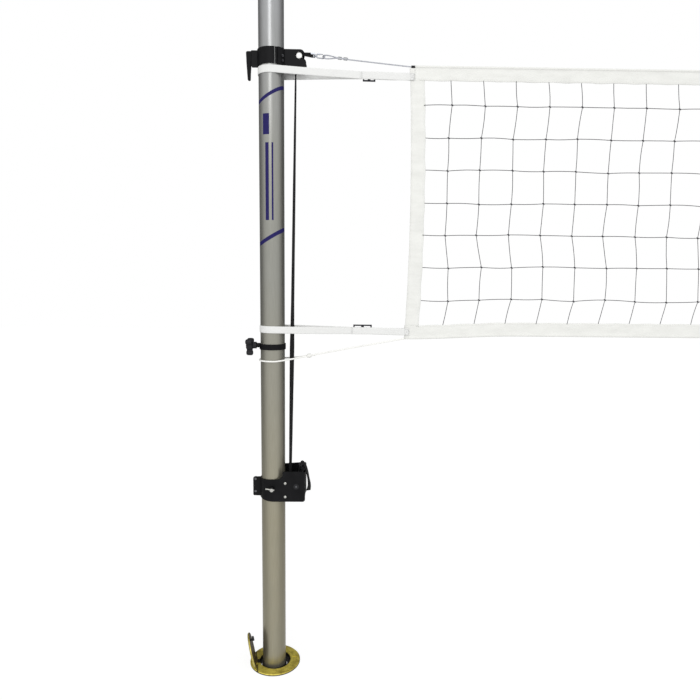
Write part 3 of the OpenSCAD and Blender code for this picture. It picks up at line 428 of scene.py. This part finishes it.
ferrule = metal_mat("ferrule_alloy", (0.28, 0.29, 0.31), (0.52, 0.53, 0.55), (0.35, 0.5))
special = {"cable_ferrules": ferrule, "winch_lid": lid_brass, "far_lid": lid_brass}
slot_of = {s["node"]: s["material_slot"] for s in frame["record"]["subparts"]}
for n, o in nodes.items():
    mat = special.get(n) or M[slot_of[n]]
    o.data.materials.clear()
    o.data.materials.append(mat)


# ---- mesh building ----
def piece(name, verts, faces, uvs, slot_name, body, replaces=()):
    """One mesh object, attached to its body when one is given."""
    me = bpy.data.meshes.new(name)
    me.from_pydata([tuple(v) for v in verts], [], faces)
    layer = me.uv_layers.new(name="UVMap")
    k = 0
    for uv in uvs:
        for c in uv:
            layer.data[k].uv = c
            k += 1
    me.polygons.foreach_set("use_smooth", [True] * len(me.polygons))
    me.validate()
    me.materials.append(M[slot_name])
    ob = bpy.data.objects.new(name, me)
    bpy.context.collection.objects.link(ob)
    if body:
        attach(ob, body)
    if replaces:
        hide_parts(*replaces)
    return ob


X, Y, Z = Vector((1, 0, 0)), Vector((0, 1, 0)), Vector((0, 0, 1))


def tangents(pts):
    """Direction of a line at each of its points."""
    last = len(pts) - 1
    return [(pts[min(i + 1, last)] - pts[max(i - 1, 0)]).normalized() for i in range(last + 1)]


class Build:
    """Gathers vertices, faces and UVs of one piece."""

    def __init__(self):
        self.v, self.f, self.t = [], [], []

    def rings(self, rings, us, vs, caps=True):
        """Skin over rings of equal length; us: one u for each point and one more to close."""
        base, k, n = len(self.v), len(rings[0]), len(rings)
        for r in rings:
            self.v.extend(r)
        for i in range(n - 1):
            j = i + 1
            for a in range(k):
                b = (a + 1) % k
                self.f.append((base + i * k + a, base + i * k + b, base + j * k + b, base + j * k + a))
                self.t.append(((us[a], vs[i]), (us[a + 1], vs[i]), (us[a + 1], vs[j]), (us[a], vs[j])))
        if caps:
            for i, order in ((0, -1), (n - 1, 1)):
                idx = list(range(k))[::order]
                self.f.append(tuple(base + i * k + a for a in idx))
                self.t.append(tuple((us[a], vs[i]) for a in idx))

    def tube(self, pts, radius, sides, shape=None, caps=True):
        """Round tube along points, carried on without twist; shape(v, angle) scales the radius."""
        pts = [Vector(p) for p in pts]
        tang = tangents(pts)
        ref = Y if abs(tang[0].y) < 0.9 else Z
        a = tang[0].cross(ref).normalized()
        rings, vs, v = [], [], 0.0
        for i in range(len(pts)):
            if i:
                v += (pts[i] - pts[i - 1]).length
                a = (a - tang[i] * a.dot(tang[i])).normalized()
            b = tang[i].cross(a)
            r = radius[i] if isinstance(radius, (list, tuple)) else radius
            ring = []
            for k in range(sides):
                t = 2 * math.pi * k / sides
                s = r * (shape(v, t) if shape else 1.0)
                ring.append(pts[i] + (a * math.cos(t) + b * math.sin(t)) * s)
            rings.append(ring)
            vs.append(v)
        us = [k / sides for k in range(sides + 1)]
        self.rings(rings, us, vs, caps=caps)

    def ribbon(self, centres, widths, normals):
        """Webbing with rounded edges; one centre, width direction and normal for each ring."""
        hw, ht, across = STRAP_W / 2, STRAP_T / 2, 8
        prof = [(-hw + 2 * hw * k / across, -ht) for k in range(across + 1)]
        prof[0], prof[-1] = (-hw + ht * 0.6, -ht * 0.75), (hw - ht * 0.6, -ht * 0.75)
        prof = [(-hw, 0)] + prof + [(hw, 0)] + [(x, -y) for x, y in reversed(prof)]
        us = [0.0]
        for i in range(len(prof)):
            p, q = prof[i], prof[(i + 1) % len(prof)]
            us.append(us[-1] + math.dist(p, q))
        rings, vs, v = [], [], 0.0
        for i, (c, wd, nm) in enumerate(zip(centres, widths, normals)):
            if i:
                v += (c - centres[i - 1]).length
            rings.append([c + wd * x + nm * y for x, y in prof])
            vs.append(v)
        self.rings(rings, us, vs)

    def piece(self, name, slot_name, body, replaces=()):
        return piece(name, self.v, self.f, self.t, slot_name, body, replaces)


def smooth(pts, step):
    """Smooth curve through points, however unevenly they lie, sampled about every step metres."""
    pts = [Vector(p) for p in pts]
    out = []
    for i in range(len(pts) - 1):
        p0, p1, p2, p3 = pts[max(i - 1, 0)], pts[i], pts[i + 1], pts[min(i + 2, len(pts) - 1)]
        d = (p2 - p1).length
        m1 = (p2 - p0) * (d / ((p1 - p0).length + d))
        m2 = (p3 - p1) * (d / ((p3 - p2).length + d))
        n = max(1, int(d / step))
        for k in range(n):
            t = k / n
            out.append(p1 * (2 * t ** 3 - 3 * t * t + 1) + m1 * (t ** 3 - 2 * t * t + t)
                       + p2 * (3 * t * t - 2 * t ** 3) + m2 * (t ** 3 - t * t))
    out.append(pts[-1])
    return out


def steps(a, b, step):
    """Even stations from a to b, at least step apart."""
    n = max(2, int((b - a) / step))
    return [a + (b - a) * k / n for k in range(n + 1)]


def to_far_end(half):
    """A line's winch half joined to its mirror."""
    return half + [far(p) for p in reversed(half)]


def both(build_one):
    """Runs a builder for the winch side and for its mirror at the far side."""
    build_one(lambda p: Vector(p), 1)
    build_one(far, -1)


# ---- net: knotted cords ----
MESH_TOP, MESH_BOTTOM = NET_TOP - TAPE_W, NET_BOTTOM + TAPE_W
FIRST_COL = 0.104
FIRST_ROW = 0.082
KNOT_SHIFT = 0.010
col_pitch = (NET_X1 - NET_X0 - 2 * TAPE_W - 2 * FIRST_COL) / (COLS - 1)
row_pitch = (MESH_TOP - MESH_BOTTOM - 2 * FIRST_ROW) / (ROWS - 1)
col_x = [NET_X0 + TAPE_W + FIRST_COL + i * col_pitch for i in range(COLS)]
row_z = [MESH_TOP - FIRST_ROW - j * row_pitch for j in range(ROWS)]
jig = random.Random(11)
knots = {(i, j): Vector((jig.gauss(0, 0.0016), jig.gauss(0, 0.0007), jig.gauss(0, 0.0018)))
         for i in range(COLS) for j in range(ROWS)}
net = Build()
CORD_R = 0.00118
# how far the cords' ends run on inside the tapes
TUCK = 0.004


def hem_sag(x):
    """How far the bottom tape hangs from level: pulled down at its corners, drawn up a little further in."""
    from_end = min(x, SPAN - x) - NET_X0
    t = max(0.0, min(1.0, from_end / 0.42))
    return -0.0075 + 0.0135 * t * t * (3 - 2 * t)


# how far the knots of each row have slid along it and risen, from the top row down
ROW_SLIDE = (-0.002, -0.012, -0.014, -0.010, -0.018, 0.0, 0.003)
ROW_RISE = (0.0, 0.004, 0.008, 0.007, 0.009, 0.008, 0.003)


def knot_at(i, j):
    """Where a knot hangs, with its row's slide and rise and its own small offset."""
    d = knots[(i, j)]
    drop = hem_sag(col_x[i]) * (j / ROWS) ** 2
    slide = ROW_SLIDE[j] * (0.6 + 0.4 * math.cos((col_x[i] - col_x[0]) * 1.3))
    return Vector((col_x[i] + d.x + 0.001 + slide, d.y, row_z[j] + d.z + drop + ROW_RISE[j]))


def strand(points, side):
    """Cord through knots with a little slack between them."""
    pts = []
    n = 5
    for a, b in zip(points, points[1:]):
        sag = jig.uniform(-0.0022, 0.0022)
        for k in range(n):
            t = k / n
            p = a.lerp(b, t)
            bulge = math.sin(math.pi * t)
            pts.append(p + side * bulge * sag + Y * bulge * jig.uniform(-0.0006, 0.0006))
    pts.append(points[-1])
    net.tube(pts, CORD_R, 6)


for i in range(COLS):
    at = col_x[i] - KNOT_SHIFT
    top = Vector((at, 0, MESH_TOP + TUCK))
    foot = Vector((at - 0.004, 0, MESH_BOTTOM + hem_sag(at) - TUCK))
    strand([top] + [knot_at(i, j) for j in range(ROWS)] + [foot], X)
for j in range(ROWS):
    inset, z = NET_X0 + TAPE_W + bow(row_z[j]) - TUCK, row_z[j] + ROW_RISE[j]
    near_end = Vector((inset, 0, z))
    strand([near_end] + [knot_at(i, j) for i in range(COLS)] + [far(near_end)], Z)
for (i, j) in knots:
    c = knot_at(i, j)
    # a swollen core across the knot and one turn of cord round it
    core = [c + Vector((-0.0042, 0, 0.0030)), c + Vector((-0.0015, -0.0007, 0.0010)), c,
            c + Vector((0.0015, 0.0007, -0.0010)), c + Vector((0.0042, 0, -0.0030))]
    net.tube(core, [0.0008, 0.0022, 0.0027, 0.0022, 0.0008], 6)
    wrap = [c + Vector((0.0024 * math.cos(a), 0.0018 * math.sin(a), 0.0014 * math.cos(a))) for a in
            (0, 1.26, 2.51, 3.77, 5.03, 6.28)]
    net.tube(wrap, 0.0010, 5, caps=False)
net.piece("net_cords", "net_cord", "net_rig", ["net_mesh"])


# ---- tapes ----
def tape_ring():
    """Section of a folded tape: a flat band with a round hem at its top, as (y, z) from the outer edge."""
    ring = []
    for k in range(15):
        a = math.radians(-62 + k * (304 / 14))
        ring.append((HEM_R * math.cos(a), -HEM_DROP + HEM_R * math.sin(a)))
    down = (-0.010, -0.017, -0.025, -0.033, -0.041, -0.047)
    ring += [(-TAPE_T / 2 * 0.82, z) for z in down]
    ring += [(-TAPE_T / 2 * 0.7, -TAPE_W + 0.0008), (0, -TAPE_W), (TAPE_T / 2 * 0.7, -TAPE_W + 0.0008)]
    ring += [(TAPE_T / 2 * 0.82, z) for z in reversed(down)]
    return ring


# height of the flat edge where a hem is cut back, below the tape's outer edge
CUT_Z = -0.0092


def long_tape(name, edge_z, sgn, seed, cad, notch):
    """Folded tape along the net; where notch > 0 its hem is cut back to a flat edge at both ends."""
    rnd = random.Random(seed)
    ph = [rnd.uniform(0, 6.28) for _ in range(4)]
    fine, coarse = steps(NET_X0 + notch, NET_X0 + 1.2, 0.012), steps(NET_X0 + 1.2, NET_X1 - 1.2, 0.03)
    xs = fine + coarse[1:] + [NET_X1 - (x - NET_X0) for x in reversed(fine)][1:]
    cut = steps(NET_X0, NET_X0 + notch, 0.006) if notch else []
    stations = [(x, True) for x in cut] + [(x, False) for x in xs] + [(SPAN - x, True) for x in reversed(cut)]
    sec = tape_ring()
    b = Build()
    rings = []
    for x, flat in stations:
        ease = max(0.0, min(1.0, (x - NET_X0) / 0.05, (NET_X1 - x) / 0.05))
        sag = hem_sag(x) if sgn < 0 else 0.0
        ring = []
        for y, z in sec:
            if flat and z > CUT_Z:
                y, z = math.copysign(min(abs(y), 0.0016), y), CUT_Z
            low = max(0.0, min(1.0, (-z - 0.008) / 0.04))
            ripple = 0.0012 * math.sin(x * 46 + ph[0] + z * 60)
            ripple += 0.0009 * math.sin(x * 103 + ph[1] - z * 90)
            ripple += 0.0006 * math.sin(x * 181 + ph[2])
            scallop = 0.0011 * math.cos((x - col_x[0]) * 2 * math.pi / col_pitch)
            puff = 0.0002 * math.sin(x * 320 + ph[3])
            ring.append(Vector((x, y + low * ease * ripple + puff * (1 if y > 0 else -1),
                                edge_z + sag + sgn * (z + low * scallop * 0.8 * (z < -0.04)))))
        rings.append(ring)
    # u is the distance from the free edge on either face
    us = [min(TAPE_W, TAPE_W + z) for _, z in sec] + [TAPE_W + sec[0][1]]
    b.rings(rings, us, [x - NET_X0 for x, _ in stations])
    return b.piece(name, "white_tape", "net_rig", [cad])


NOTCH = 0.018
top_hem = long_tape("top_hem", NET_TOP, 1, 3, "top_tape", NOTCH)
bottom_hem = long_tape("bottom_hem", NET_BOTTOM, -1, 5, "bottom_tape", 0)

side = Build()


def side_tape(place, sgn):
    rnd = random.Random(17 + sgn)
    ph = [rnd.uniform(0, 6.28) for _ in range(4)]
    zs = steps(MESH_BOTTOM - 0.012, MESH_TOP + 0.006, 0.010)
    across = 10
    prof = [(TAPE_W * k / across, -TAPE_T / 2 * 0.8) for k in range(across + 1)]
    prof[0], prof[-1] = (0.0006, -0.0011), (TAPE_W - 0.0006, -0.0011)
    prof = [(0, 0)] + prof + [(TAPE_W, 0)] + [(x, -y) for x, y in reversed(prof)]
    rings = []
    for z in zs:
        ease = min(1.0, (z - zs[0]) / 0.04, (zs[-1] - z) / 0.04)
        ring = []
        for x, y in prof:
            ripple = 0.0013 * math.sin(z * 41 + ph[0] + x * 40) + 0.0008 * math.sin(z * 97 + ph[1])
            thick = 0.55 if ease <= 0.15 else 1.0
            inner = 0.0012 * math.cos((z - row_z[0]) * 2 * math.pi / row_pitch) * (x / TAPE_W) ** 3
            ring.append(place((NET_X0 + bow(z) + x + inner, y * thick + ease * ripple, z)))
        rings.append(ring)
    us = [x for x, _ in prof] + [0.0]
    if sgn < 0:
        rings = rings[::-1]
    side.rings(rings, us, [z - zs[0] for z in zs])


both(side_tape)
side_hems = side.piece("side_hems", "white_tape", "net_rig", ["side_tapes"])


# ---- white straps round the poles ----
def strap_path(place, z0, drop, join, build):
    """Rear and front run between the pole and the join, then two joined layers on to the net."""
    r = POLE_R + SNUG + STRAP_T / 2
    a = math.acos((r - STRAP_T / 2) / join)
    end, overlap = NET_X0 + 0.017, 0.006

    def run(t, s):
        x = r * math.cos(a) + (join - r * math.cos(a)) * t
        y = r * math.sin(a) * (1 - t) + STRAP_T / 2 * t
        return x, s * y, s * 0.0008 * math.sin(t * 3.1)

    def layer(k, s):
        x = join - overlap + (end - join + overlap) * k / 24
        near = max(0.0, min(1.0, (x - (NET_X0 - 0.012)) / 0.012))
        return x, s * (STRAP_T / 2 + near * (TAPE_T / 2 + 0.0002)), 0.0006 * math.sin(x * 40 + s)

    round_pole = [run(1 - k / 22, 1) for k in range(23)]
    for k in range(1, 28):
        t = a + (2 * math.pi - 2 * a) * k / 28
        round_pole.append((r * math.cos(t), r * math.sin(t), 0))
    round_pole += [run(k / 22, -1) for k in range(23)]
    for pts in (round_pole, [layer(k, -1) for k in range(25)], [layer(k, 1) for k in range(25)]):
        cs = [place((x, y, z0 - x * drop + dz)) for x, y, dz in pts]
        ways = tangents(cs)
        ns = [t.cross(Z).normalized() for t in ways]
        build.ribbon(cs, [nm.cross(t).normalized() for nm, t in zip(ns, ways)], ns)


STRAPS = {"top_webbing": (NET_TOP - 0.031, math.tan(math.radians(0.83)), 0.318, "top_straps"),
          "bottom_webbing": (NET_BOTTOM + 0.027, 0.007 / NET_X0, 0.294, "bottom_straps")}
for name, (z0, drop, join, cad) in STRAPS.items():
    b = Build()
    both(lambda place, sgn: strap_path(place, z0, drop, join, b))
    b.piece(name, "white_webbing", "net_rig", [cad])

# sewn boxes of thread where the straps lie on the tape
thread = Build()


def sewing(place, sgn):
    for z0, drop, _, _ in STRAPS.values():
        x0, x1, h = NET_X0 + 0.001, NET_X0 + 0.0155, 0.0105
        zc = z0 - (x0 + x1) / 2 * drop
        lines = [((x0, -h), (x1, -h)), ((x0, h), (x1, h)), ((x0, -h), (x1, h)),
                 ((x0, h), (x1, -h)), ((x1, -h), (x1, h)), ((x0, -h), (x0, h))]
        for (xa, za), (xb, zb) in lines:
            n = max(2, int(math.dist((xa, za), (xb, zb)) / 0.0028))
            for k in range(n):
                for s in (-1, 1):
                    y = s * (TAPE_T / 2 + STRAP_T + 0.0004)
                    p = [place((xa + (xb - xa) * (k + f) / n, y + s * 0.0003 * math.sin(math.pi * f), zc + za
                                + (zb - za) * (k + f) / n)) for f in (0.1, 0.5, 0.8)]
                    thread.tube(p, 0.0004, 5)


both(sewing)
thread.piece("strap_stitches", "white_webbing", "net_rig")

# ---- bottom rope ----
ROPE_Z = NET_BOTTOM - 0.088
ROPE_R = 0.00295
LOOP_R = (POLE_R + SNUG + 0.003) / math.cos(math.radians(10))
HITCH_X = 0.134
rope_end = [(HITCH_X + 0.022, 0.004, ROPE_Z + 0.018), (HITCH_X + 0.006, 0.0033, ROPE_Z + 0.017),
            (HITCH_X - 0.006, 0.0036, ROPE_Z + 0.0155), (HITCH_X - 0.024, 0.0075, ROPE_Z + 0.012),
            (0.070, 0.024, ROPE_Z + 0.006)]
for t in range(70, 291, 20):
    rope_end.append((LOOP_R * math.cos(math.radians(t)), LOOP_R * math.sin(math.radians(t)), ROPE_Z))
rope_end += [(0.070, -0.024, ROPE_Z + 0.006), (HITCH_X - 0.024, -0.0075, ROPE_Z + 0.012),
             (HITCH_X - 0.006, -0.0036, ROPE_Z + 0.0155), (HITCH_X + 0.006, -0.0033, ROPE_Z + 0.017),
             (HITCH_X + 0.026, -0.002, ROPE_Z + 0.022), (NET_X0 - 0.002, 0, NET_BOTTOM - 0.0055),
             (NET_X0 + 0.018, 0, NET_BOTTOM - 0.003), (NET_X0 + 0.06, 0, NET_BOTTOM - 0.002)]
for x in (NET_X0 + 0.14, NET_X0 + 0.25, NET_X0 + 0.36, 1.0, 1.1):
    rope_end.append((x, 0, NET_BOTTOM + HEM_DROP + hem_sag(x)))


def braid(v, t):
    """Crossed strands of a braided line, as a share of its radius."""
    return 1 + 0.045 * math.cos(6 * t + v * 700) * math.cos(6 * t - v * 700)


rope = Build()
rope_line = to_far_end(smooth(rope_end, 0.0025))
rope.tube(rope_line, ROPE_R, 14, braid)
rope_piece = rope.piece("rope", "white_rope", "net_rig", ["bottom_rope"])

hitch = Build()


def hitches(place, sgn):
    """Four turns of line round both legs of the rope."""
    pts = []
    for k in range(66):
        t = k / 65
        a = t * 4 * 2 * math.pi
        x = HITCH_X - 0.0062 + 0.0125 * t
        z = ROPE_Z + 0.0163 + (x - HITCH_X) * 0.1 + 0.0060 * math.sin(a)
        pts.append(place((x, 0.0088 * math.cos(a), z)))
    hitch.tube(pts, 0.0021, 9, braid)


both(hitches)
hitch.piece("rope_whipping", "white_rope", "net_rig", ["rope_hitches"])

# ---- wire cable with its eyes ----
EYE_TILT = math.radians(46)
LEG = 0.0043


def eye_point(s, w):
    """Place in the tilted plane of the cable's eye: s along the line, w to its side."""
    q = on_line(s, w * math.cos(EYE_TILT) - STRAP_T / 2)
    return (q[0], w * math.sin(EYE_TILT), q[1])


tip, er = 0.0818, 0.0125
cable_end = [eye_point(0.170, LEG), eye_point(0.130, LEG), eye_point(0.120, 0.0075), eye_point(0.108, 0.011)]
cable_end += [eye_point(tip + er + er * math.cos(math.radians(a)), er * math.sin(math.radians(a)))
              for a in range(90, 271, 30)]
cable_end += [eye_point(0.108, -0.009), eye_point(0.119, -0.004), eye_point(0.129, 0), eye_point(0.180, 0)]
cable_end += [(LINE_END[0] + dx, 0, LINE_END[1]) for dx in (0, 0.02, 0.05)]


def laid(v, t):
    """Round strands of a wire rope, as a share of its radius."""
    return 1 + 0.10 * abs(math.cos(3 * t + v * 260)) - 0.05


cable = Build()
cable_line = to_far_end(smooth(cable_end, 0.0022))
cable.tube(cable_line, 0.0020, 18, laid)
cable_piece = cable.piece("wire_cable", "cable_steel", "net_rig", ["net_cable"])

# ---- black belt: end over the pulley, folds, long run, roll and tail ----
belt_x0, belt_x1 = DRUM_X - 0.0256, PULLEY[0] - WRAP_R
z_low, z_high = WINCH_Z + 0.001, PULLEY[1]
# the hook's bar that the webbing is sewn round, and the far side's anchor pin
FOLD_BAR_S, FOLD_BAR_R = 0.043, 0.0022
PIN_R = 0.005


def fold(place, s0, bar_s, bar_r):
    """Webbing laid round a bar and sewn back on itself, in the cable line's plane."""
    n0 = -STRAP_T / 2
    rr = bar_r + 0.0001 + STRAP_T / 2

    def lift(s):
        return STRAP_T / 2 + (rr - STRAP_T / 2) * max(0.0, (s - s0 - 0.012) / (bar_s - s0 - 0.012))

    pts = [(s, n0 + lift(s)) for s in steps(s0, bar_s, (bar_s - s0) / 11)[:-1]]
    for k in range(13):
        a = math.radians(90 - 15 * k)
        pts.append((bar_s + rr * math.cos(a), n0 + rr * math.sin(a)))
    for k in range(1, 11):
        s = bar_s + (s0 + 0.001 - bar_s) * k / 10
        pts.append((s, n0 - lift(s)))
    cs = []
    for s, n in pts:
        x, z = on_line(s, n)
        cs.append(place((x, 0, z)))
    return cs


def ribbon_xz(build, cs):
    """Webbing that lies square to the winch's plane all along."""
    build.ribbon(cs, [Y] * len(cs), [t.cross(Y).normalized() for t in tangents(cs)])


b = Build()
arc = []
for k in range(13):
    a = math.pi - (math.pi / 2 + LINE_DROP) * k / 12
    arc.append(Vector((PULLEY[0] + WRAP_R * math.cos(a), 0, PULLEY[1] + WRAP_R * math.sin(a))))
start = [Vector((belt_x1, 0, PULLEY[1] - 0.0005))]
ribbon_xz(b, start + arc + fold(Vector, 0.002, FOLD_BAR_S, FOLD_BAR_R))
b.piece("belt_head", "black_webbing", "net_rig", ["belt_end"])

b = Build()
loop = fold(far, 0.014, FOLD_BAR_S, FOLD_BAR_R)
ring_r = PIN_R + 0.0001 + STRAP_T / 2
pin = far((PULLEY[0], 0, on_line(0, 0)[1]))
around = []
for t in range(0, 181, 12):
    around.append(pin + Vector((ring_r * math.sin(math.radians(t)), 0, ring_r * math.cos(math.radians(t)))))
ribbon_xz(b, around + [loop[-1]] + list(reversed(loop)) + [around[0]])
b.piece("anchor_webbing", "black_webbing", "net_rig", ["anchor_strap"])


# height and turn in degrees down the long belt
TWIST = ((z_low, 0), (0.79, 17), (0.84, 20), (0.93, 24), (1.05, 28), (1.15, 33), (1.24, 36), (1.34, 26),
         (1.42, 21), (1.60, 18), (1.78, 16), (1.95, 12), (2.15, 8), (2.21, 4), (z_high, 0))


def twist_at(t):
    """Turn of the long belt: flat at its ends, most of all just below the net's foot."""
    z = z_low + (z_high - z_low) * t
    for (za, a), (zb, b) in zip(TWIST, TWIST[1:]):
        if z <= zb:
            k = (z - za) / (zb - za)
            return -math.radians(a + (b - a) * k * k * (3 - 2 * k))
    return 0.0


b = Build()
cs, ws, ns = [], [], []
axis = (Vector((belt_x1, 0, z_high)) - Vector((belt_x0, 0, z_low))).normalized()
for k in range(91):
    t = k / 90
    c = Vector((belt_x0 + (belt_x1 - belt_x0) * t, 0, z_low + (z_high - z_low) * t))
    w = Matrix.Rotation(twist_at(t), 3, axis) @ Y
    cs.append(c)
    ws.append(w)
    ns.append(axis.cross(w).normalized())
b.ribbon(cs, ws, ns)
lift = b.piece("lifting_belt", "black_webbing", None, ["lift_belt"])
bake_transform(lift)

LAYERS, PER_TURN = 4.5, 36
r_out, r_in = 0.0240 - STRAP_T * 0.45, 0.0122
roll = []
for k in range(int(LAYERS * PER_TURN) + 1):
    a = math.radians(180 + 10 * k)
    r = r_out - (r_out - r_in) * k / (LAYERS * PER_TURN)
    roll.append(Vector((DRUM_X + r * math.cos(a), 0, WINCH_Z - r * math.sin(a))))
b = Build()
ribbon_xz(b, roll)
b.piece("wound_belt", "black_webbing", "drum", ["belt_roll"])

# the tail's middle line in millimetres from the drum's height, and its turn at each point
mid = [(92, 25.5), (95, 40), (97.5, 55), (100.5, 69), (104.3, 77.8), (108.6, 80.6), (113.4, 76.8),
       (117.2, 71), (120.3, 65.1), (123.6, 56.8), (126, 47.9), (128.6, 37.5), (130.5, 26.8), (132, 18),
       (133.2, 9.6), (134.4, 1), (135.1, -7.7), (134.7, -16), (133.5, -23.5), (131.8, -30.5)]
turns = [math.radians(11.5 * min(i / 8, 1) + 29.5 * (max(i - 13, 0) / 6) ** 1.3) for i in range(len(mid))]
# the turn, in thousandths, is carried along as y so that it is smoothed with the line
path = smooth([(x / 1000, turn / 1000, WINCH_Z + z / 1000) for (x, z), turn in zip(mid, turns)], 0.0025)
cs = [Vector((p.x, 0, p.z)) for p in path]
ws, ns = [], []
for p, t in zip(path, tangents(cs)):
    w = (Matrix.Rotation(p.y * 1000, 3, t) @ Y).normalized()
    ws.append(w)
    ns.append(t.cross(w).normalized())
b = Build()
b.ribbon(cs, ws, ns)
b.piece("loose_tail", "black_webbing", "base", ["belt_tail"])


# ---- floor, light ----
# just white to the eye and no brighter, so that thin cords stay visible in front of it
FLOOR_GLOW = 0.885
FLOOR_TONE = 0.14
FLOOR_HOLE_R = 0.090


def floor():
    """White floor with a hole for each sleeve; it is seen, but sends no light to the part."""
    cu = bpy.data.curves.new("floor", "CURVE")
    cu.dimensions = "2D"
    cu.fill_mode = "BOTH"

    def outline(pts):
        sp = cu.splines.new("POLY")
        sp.points.add(len(pts) - 1)
        for q, (x, y) in zip(sp.points, pts):
            q.co = (x, y, 0, 1)
        sp.use_cyclic_u = True

    outline([(-14, -12), (25, -12), (25, 14), (-14, 14)])
    turn = [2 * math.pi * k / 72 for k in range(72)]
    for cx in (0, SPAN):
        outline([(cx + FLOOR_HOLE_R * math.cos(a), FLOOR_HOLE_R * math.sin(a)) for a in turn])
    tmp = bpy.data.objects.new("floor_curve", cu)
    bpy.context.collection.objects.link(tmp)
    me = bpy.data.meshes.new_from_object(tmp)
    bpy.data.objects.remove(tmp)
    for v in me.vertices:
        v.co.z = -0.0006
    ob = bpy.data.objects.new("floor", me)
    m = Mat("floor_white", rough=0.9, gloss=0.2)
    m.b.inputs["Emission Color"].default_value = (1, 1, 1, 1)
    m.b.inputs["Emission Strength"].default_value = FLOOR_GLOW
    speck = m.noise(m.obj, 3, 3)
    tone = m.ramp(speck, (0.3, (FLOOR_TONE,) * 3), (0.7, (FLOOR_TONE + 0.008,) * 3))
    me.materials.clear()
    me.materials.append(m.finish(tone))
    bpy.context.collection.objects.link(ob)
    ob.visible_diffuse = ob.visible_glossy = False


floor()


def studio():
    """White behind the object; light from a broad bright front, dim sides and back, and some from below."""
    world = bpy.data.worlds.new("studio")
    world.use_nodes = True
    nt = world.node_tree
    add = nt.nodes.new
    seen = nt.nodes["Background"]
    light = add("ShaderNodeBackground")
    way = add("ShaderNodeTexCoord")
    dot = add("ShaderNodeVectorMath")
    dot.operation = "DOT_PRODUCT"
    dot.inputs[1].default_value = Vector((0.03, -0.90, 0.42)).normalized()
    fall = add("ShaderNodeMapRange")
    fall.interpolation_type = "SMOOTHSTEP"
    for k, v in enumerate((-0.35, 0.68, 0.16, 1.30)):
        fall.inputs[k + 1].default_value = v
    parts = add("ShaderNodeSeparateXYZ")
    low = add("ShaderNodeMapRange")
    for k, v in enumerate((-0.12, -0.48, 0.16, 0.80)):
        low.inputs[k + 1].default_value = v
    most = add("ShaderNodeMath")
    most.operation = "MAXIMUM"
    path = add("ShaderNodeLightPath")
    mix = add("ShaderNodeMixShader")
    link = nt.links.new
    link(way.outputs["Generated"], dot.inputs[0])
    link(dot.outputs["Value"], fall.inputs[0])
    link(way.outputs["Generated"], parts.inputs[0])
    link(parts.outputs["Z"], low.inputs[0])
    link(fall.outputs[0], most.inputs[0])
    link(low.outputs[0], most.inputs[1])
    link(most.outputs[0], light.inputs["Strength"])
    link(path.outputs["Is Camera Ray"], mix.inputs[0])
    link(light.outputs[0], mix.inputs[1])
    link(seen.outputs[0], mix.inputs[2])
    link(mix.outputs[0], nt.nodes["World Output"].inputs[0])
    seen.inputs[0].default_value = (1, 1, 1, 1)
    light.inputs[0].default_value = (1, 1, 1, 1)
    bpy.context.scene.world = world
    bpy.context.scene.view_settings.view_transform = "Standard"


def area(name, loc, target, size, power):
    li = bpy.data.lights.new(name, "AREA")
    li.energy = power
    li.size = size
    ob = bpy.data.objects.new(name, li)
    ob.location = loc
    ob.rotation_euler = (Vector(target) - Vector(loc)).to_track_quat("-Z", "Y").to_euler()
    bpy.context.collection.objects.link(ob)


studio()
area("key", (-0.4, -3.6, 3.6), (0.1, 0, 1.3), 1.2, 25)
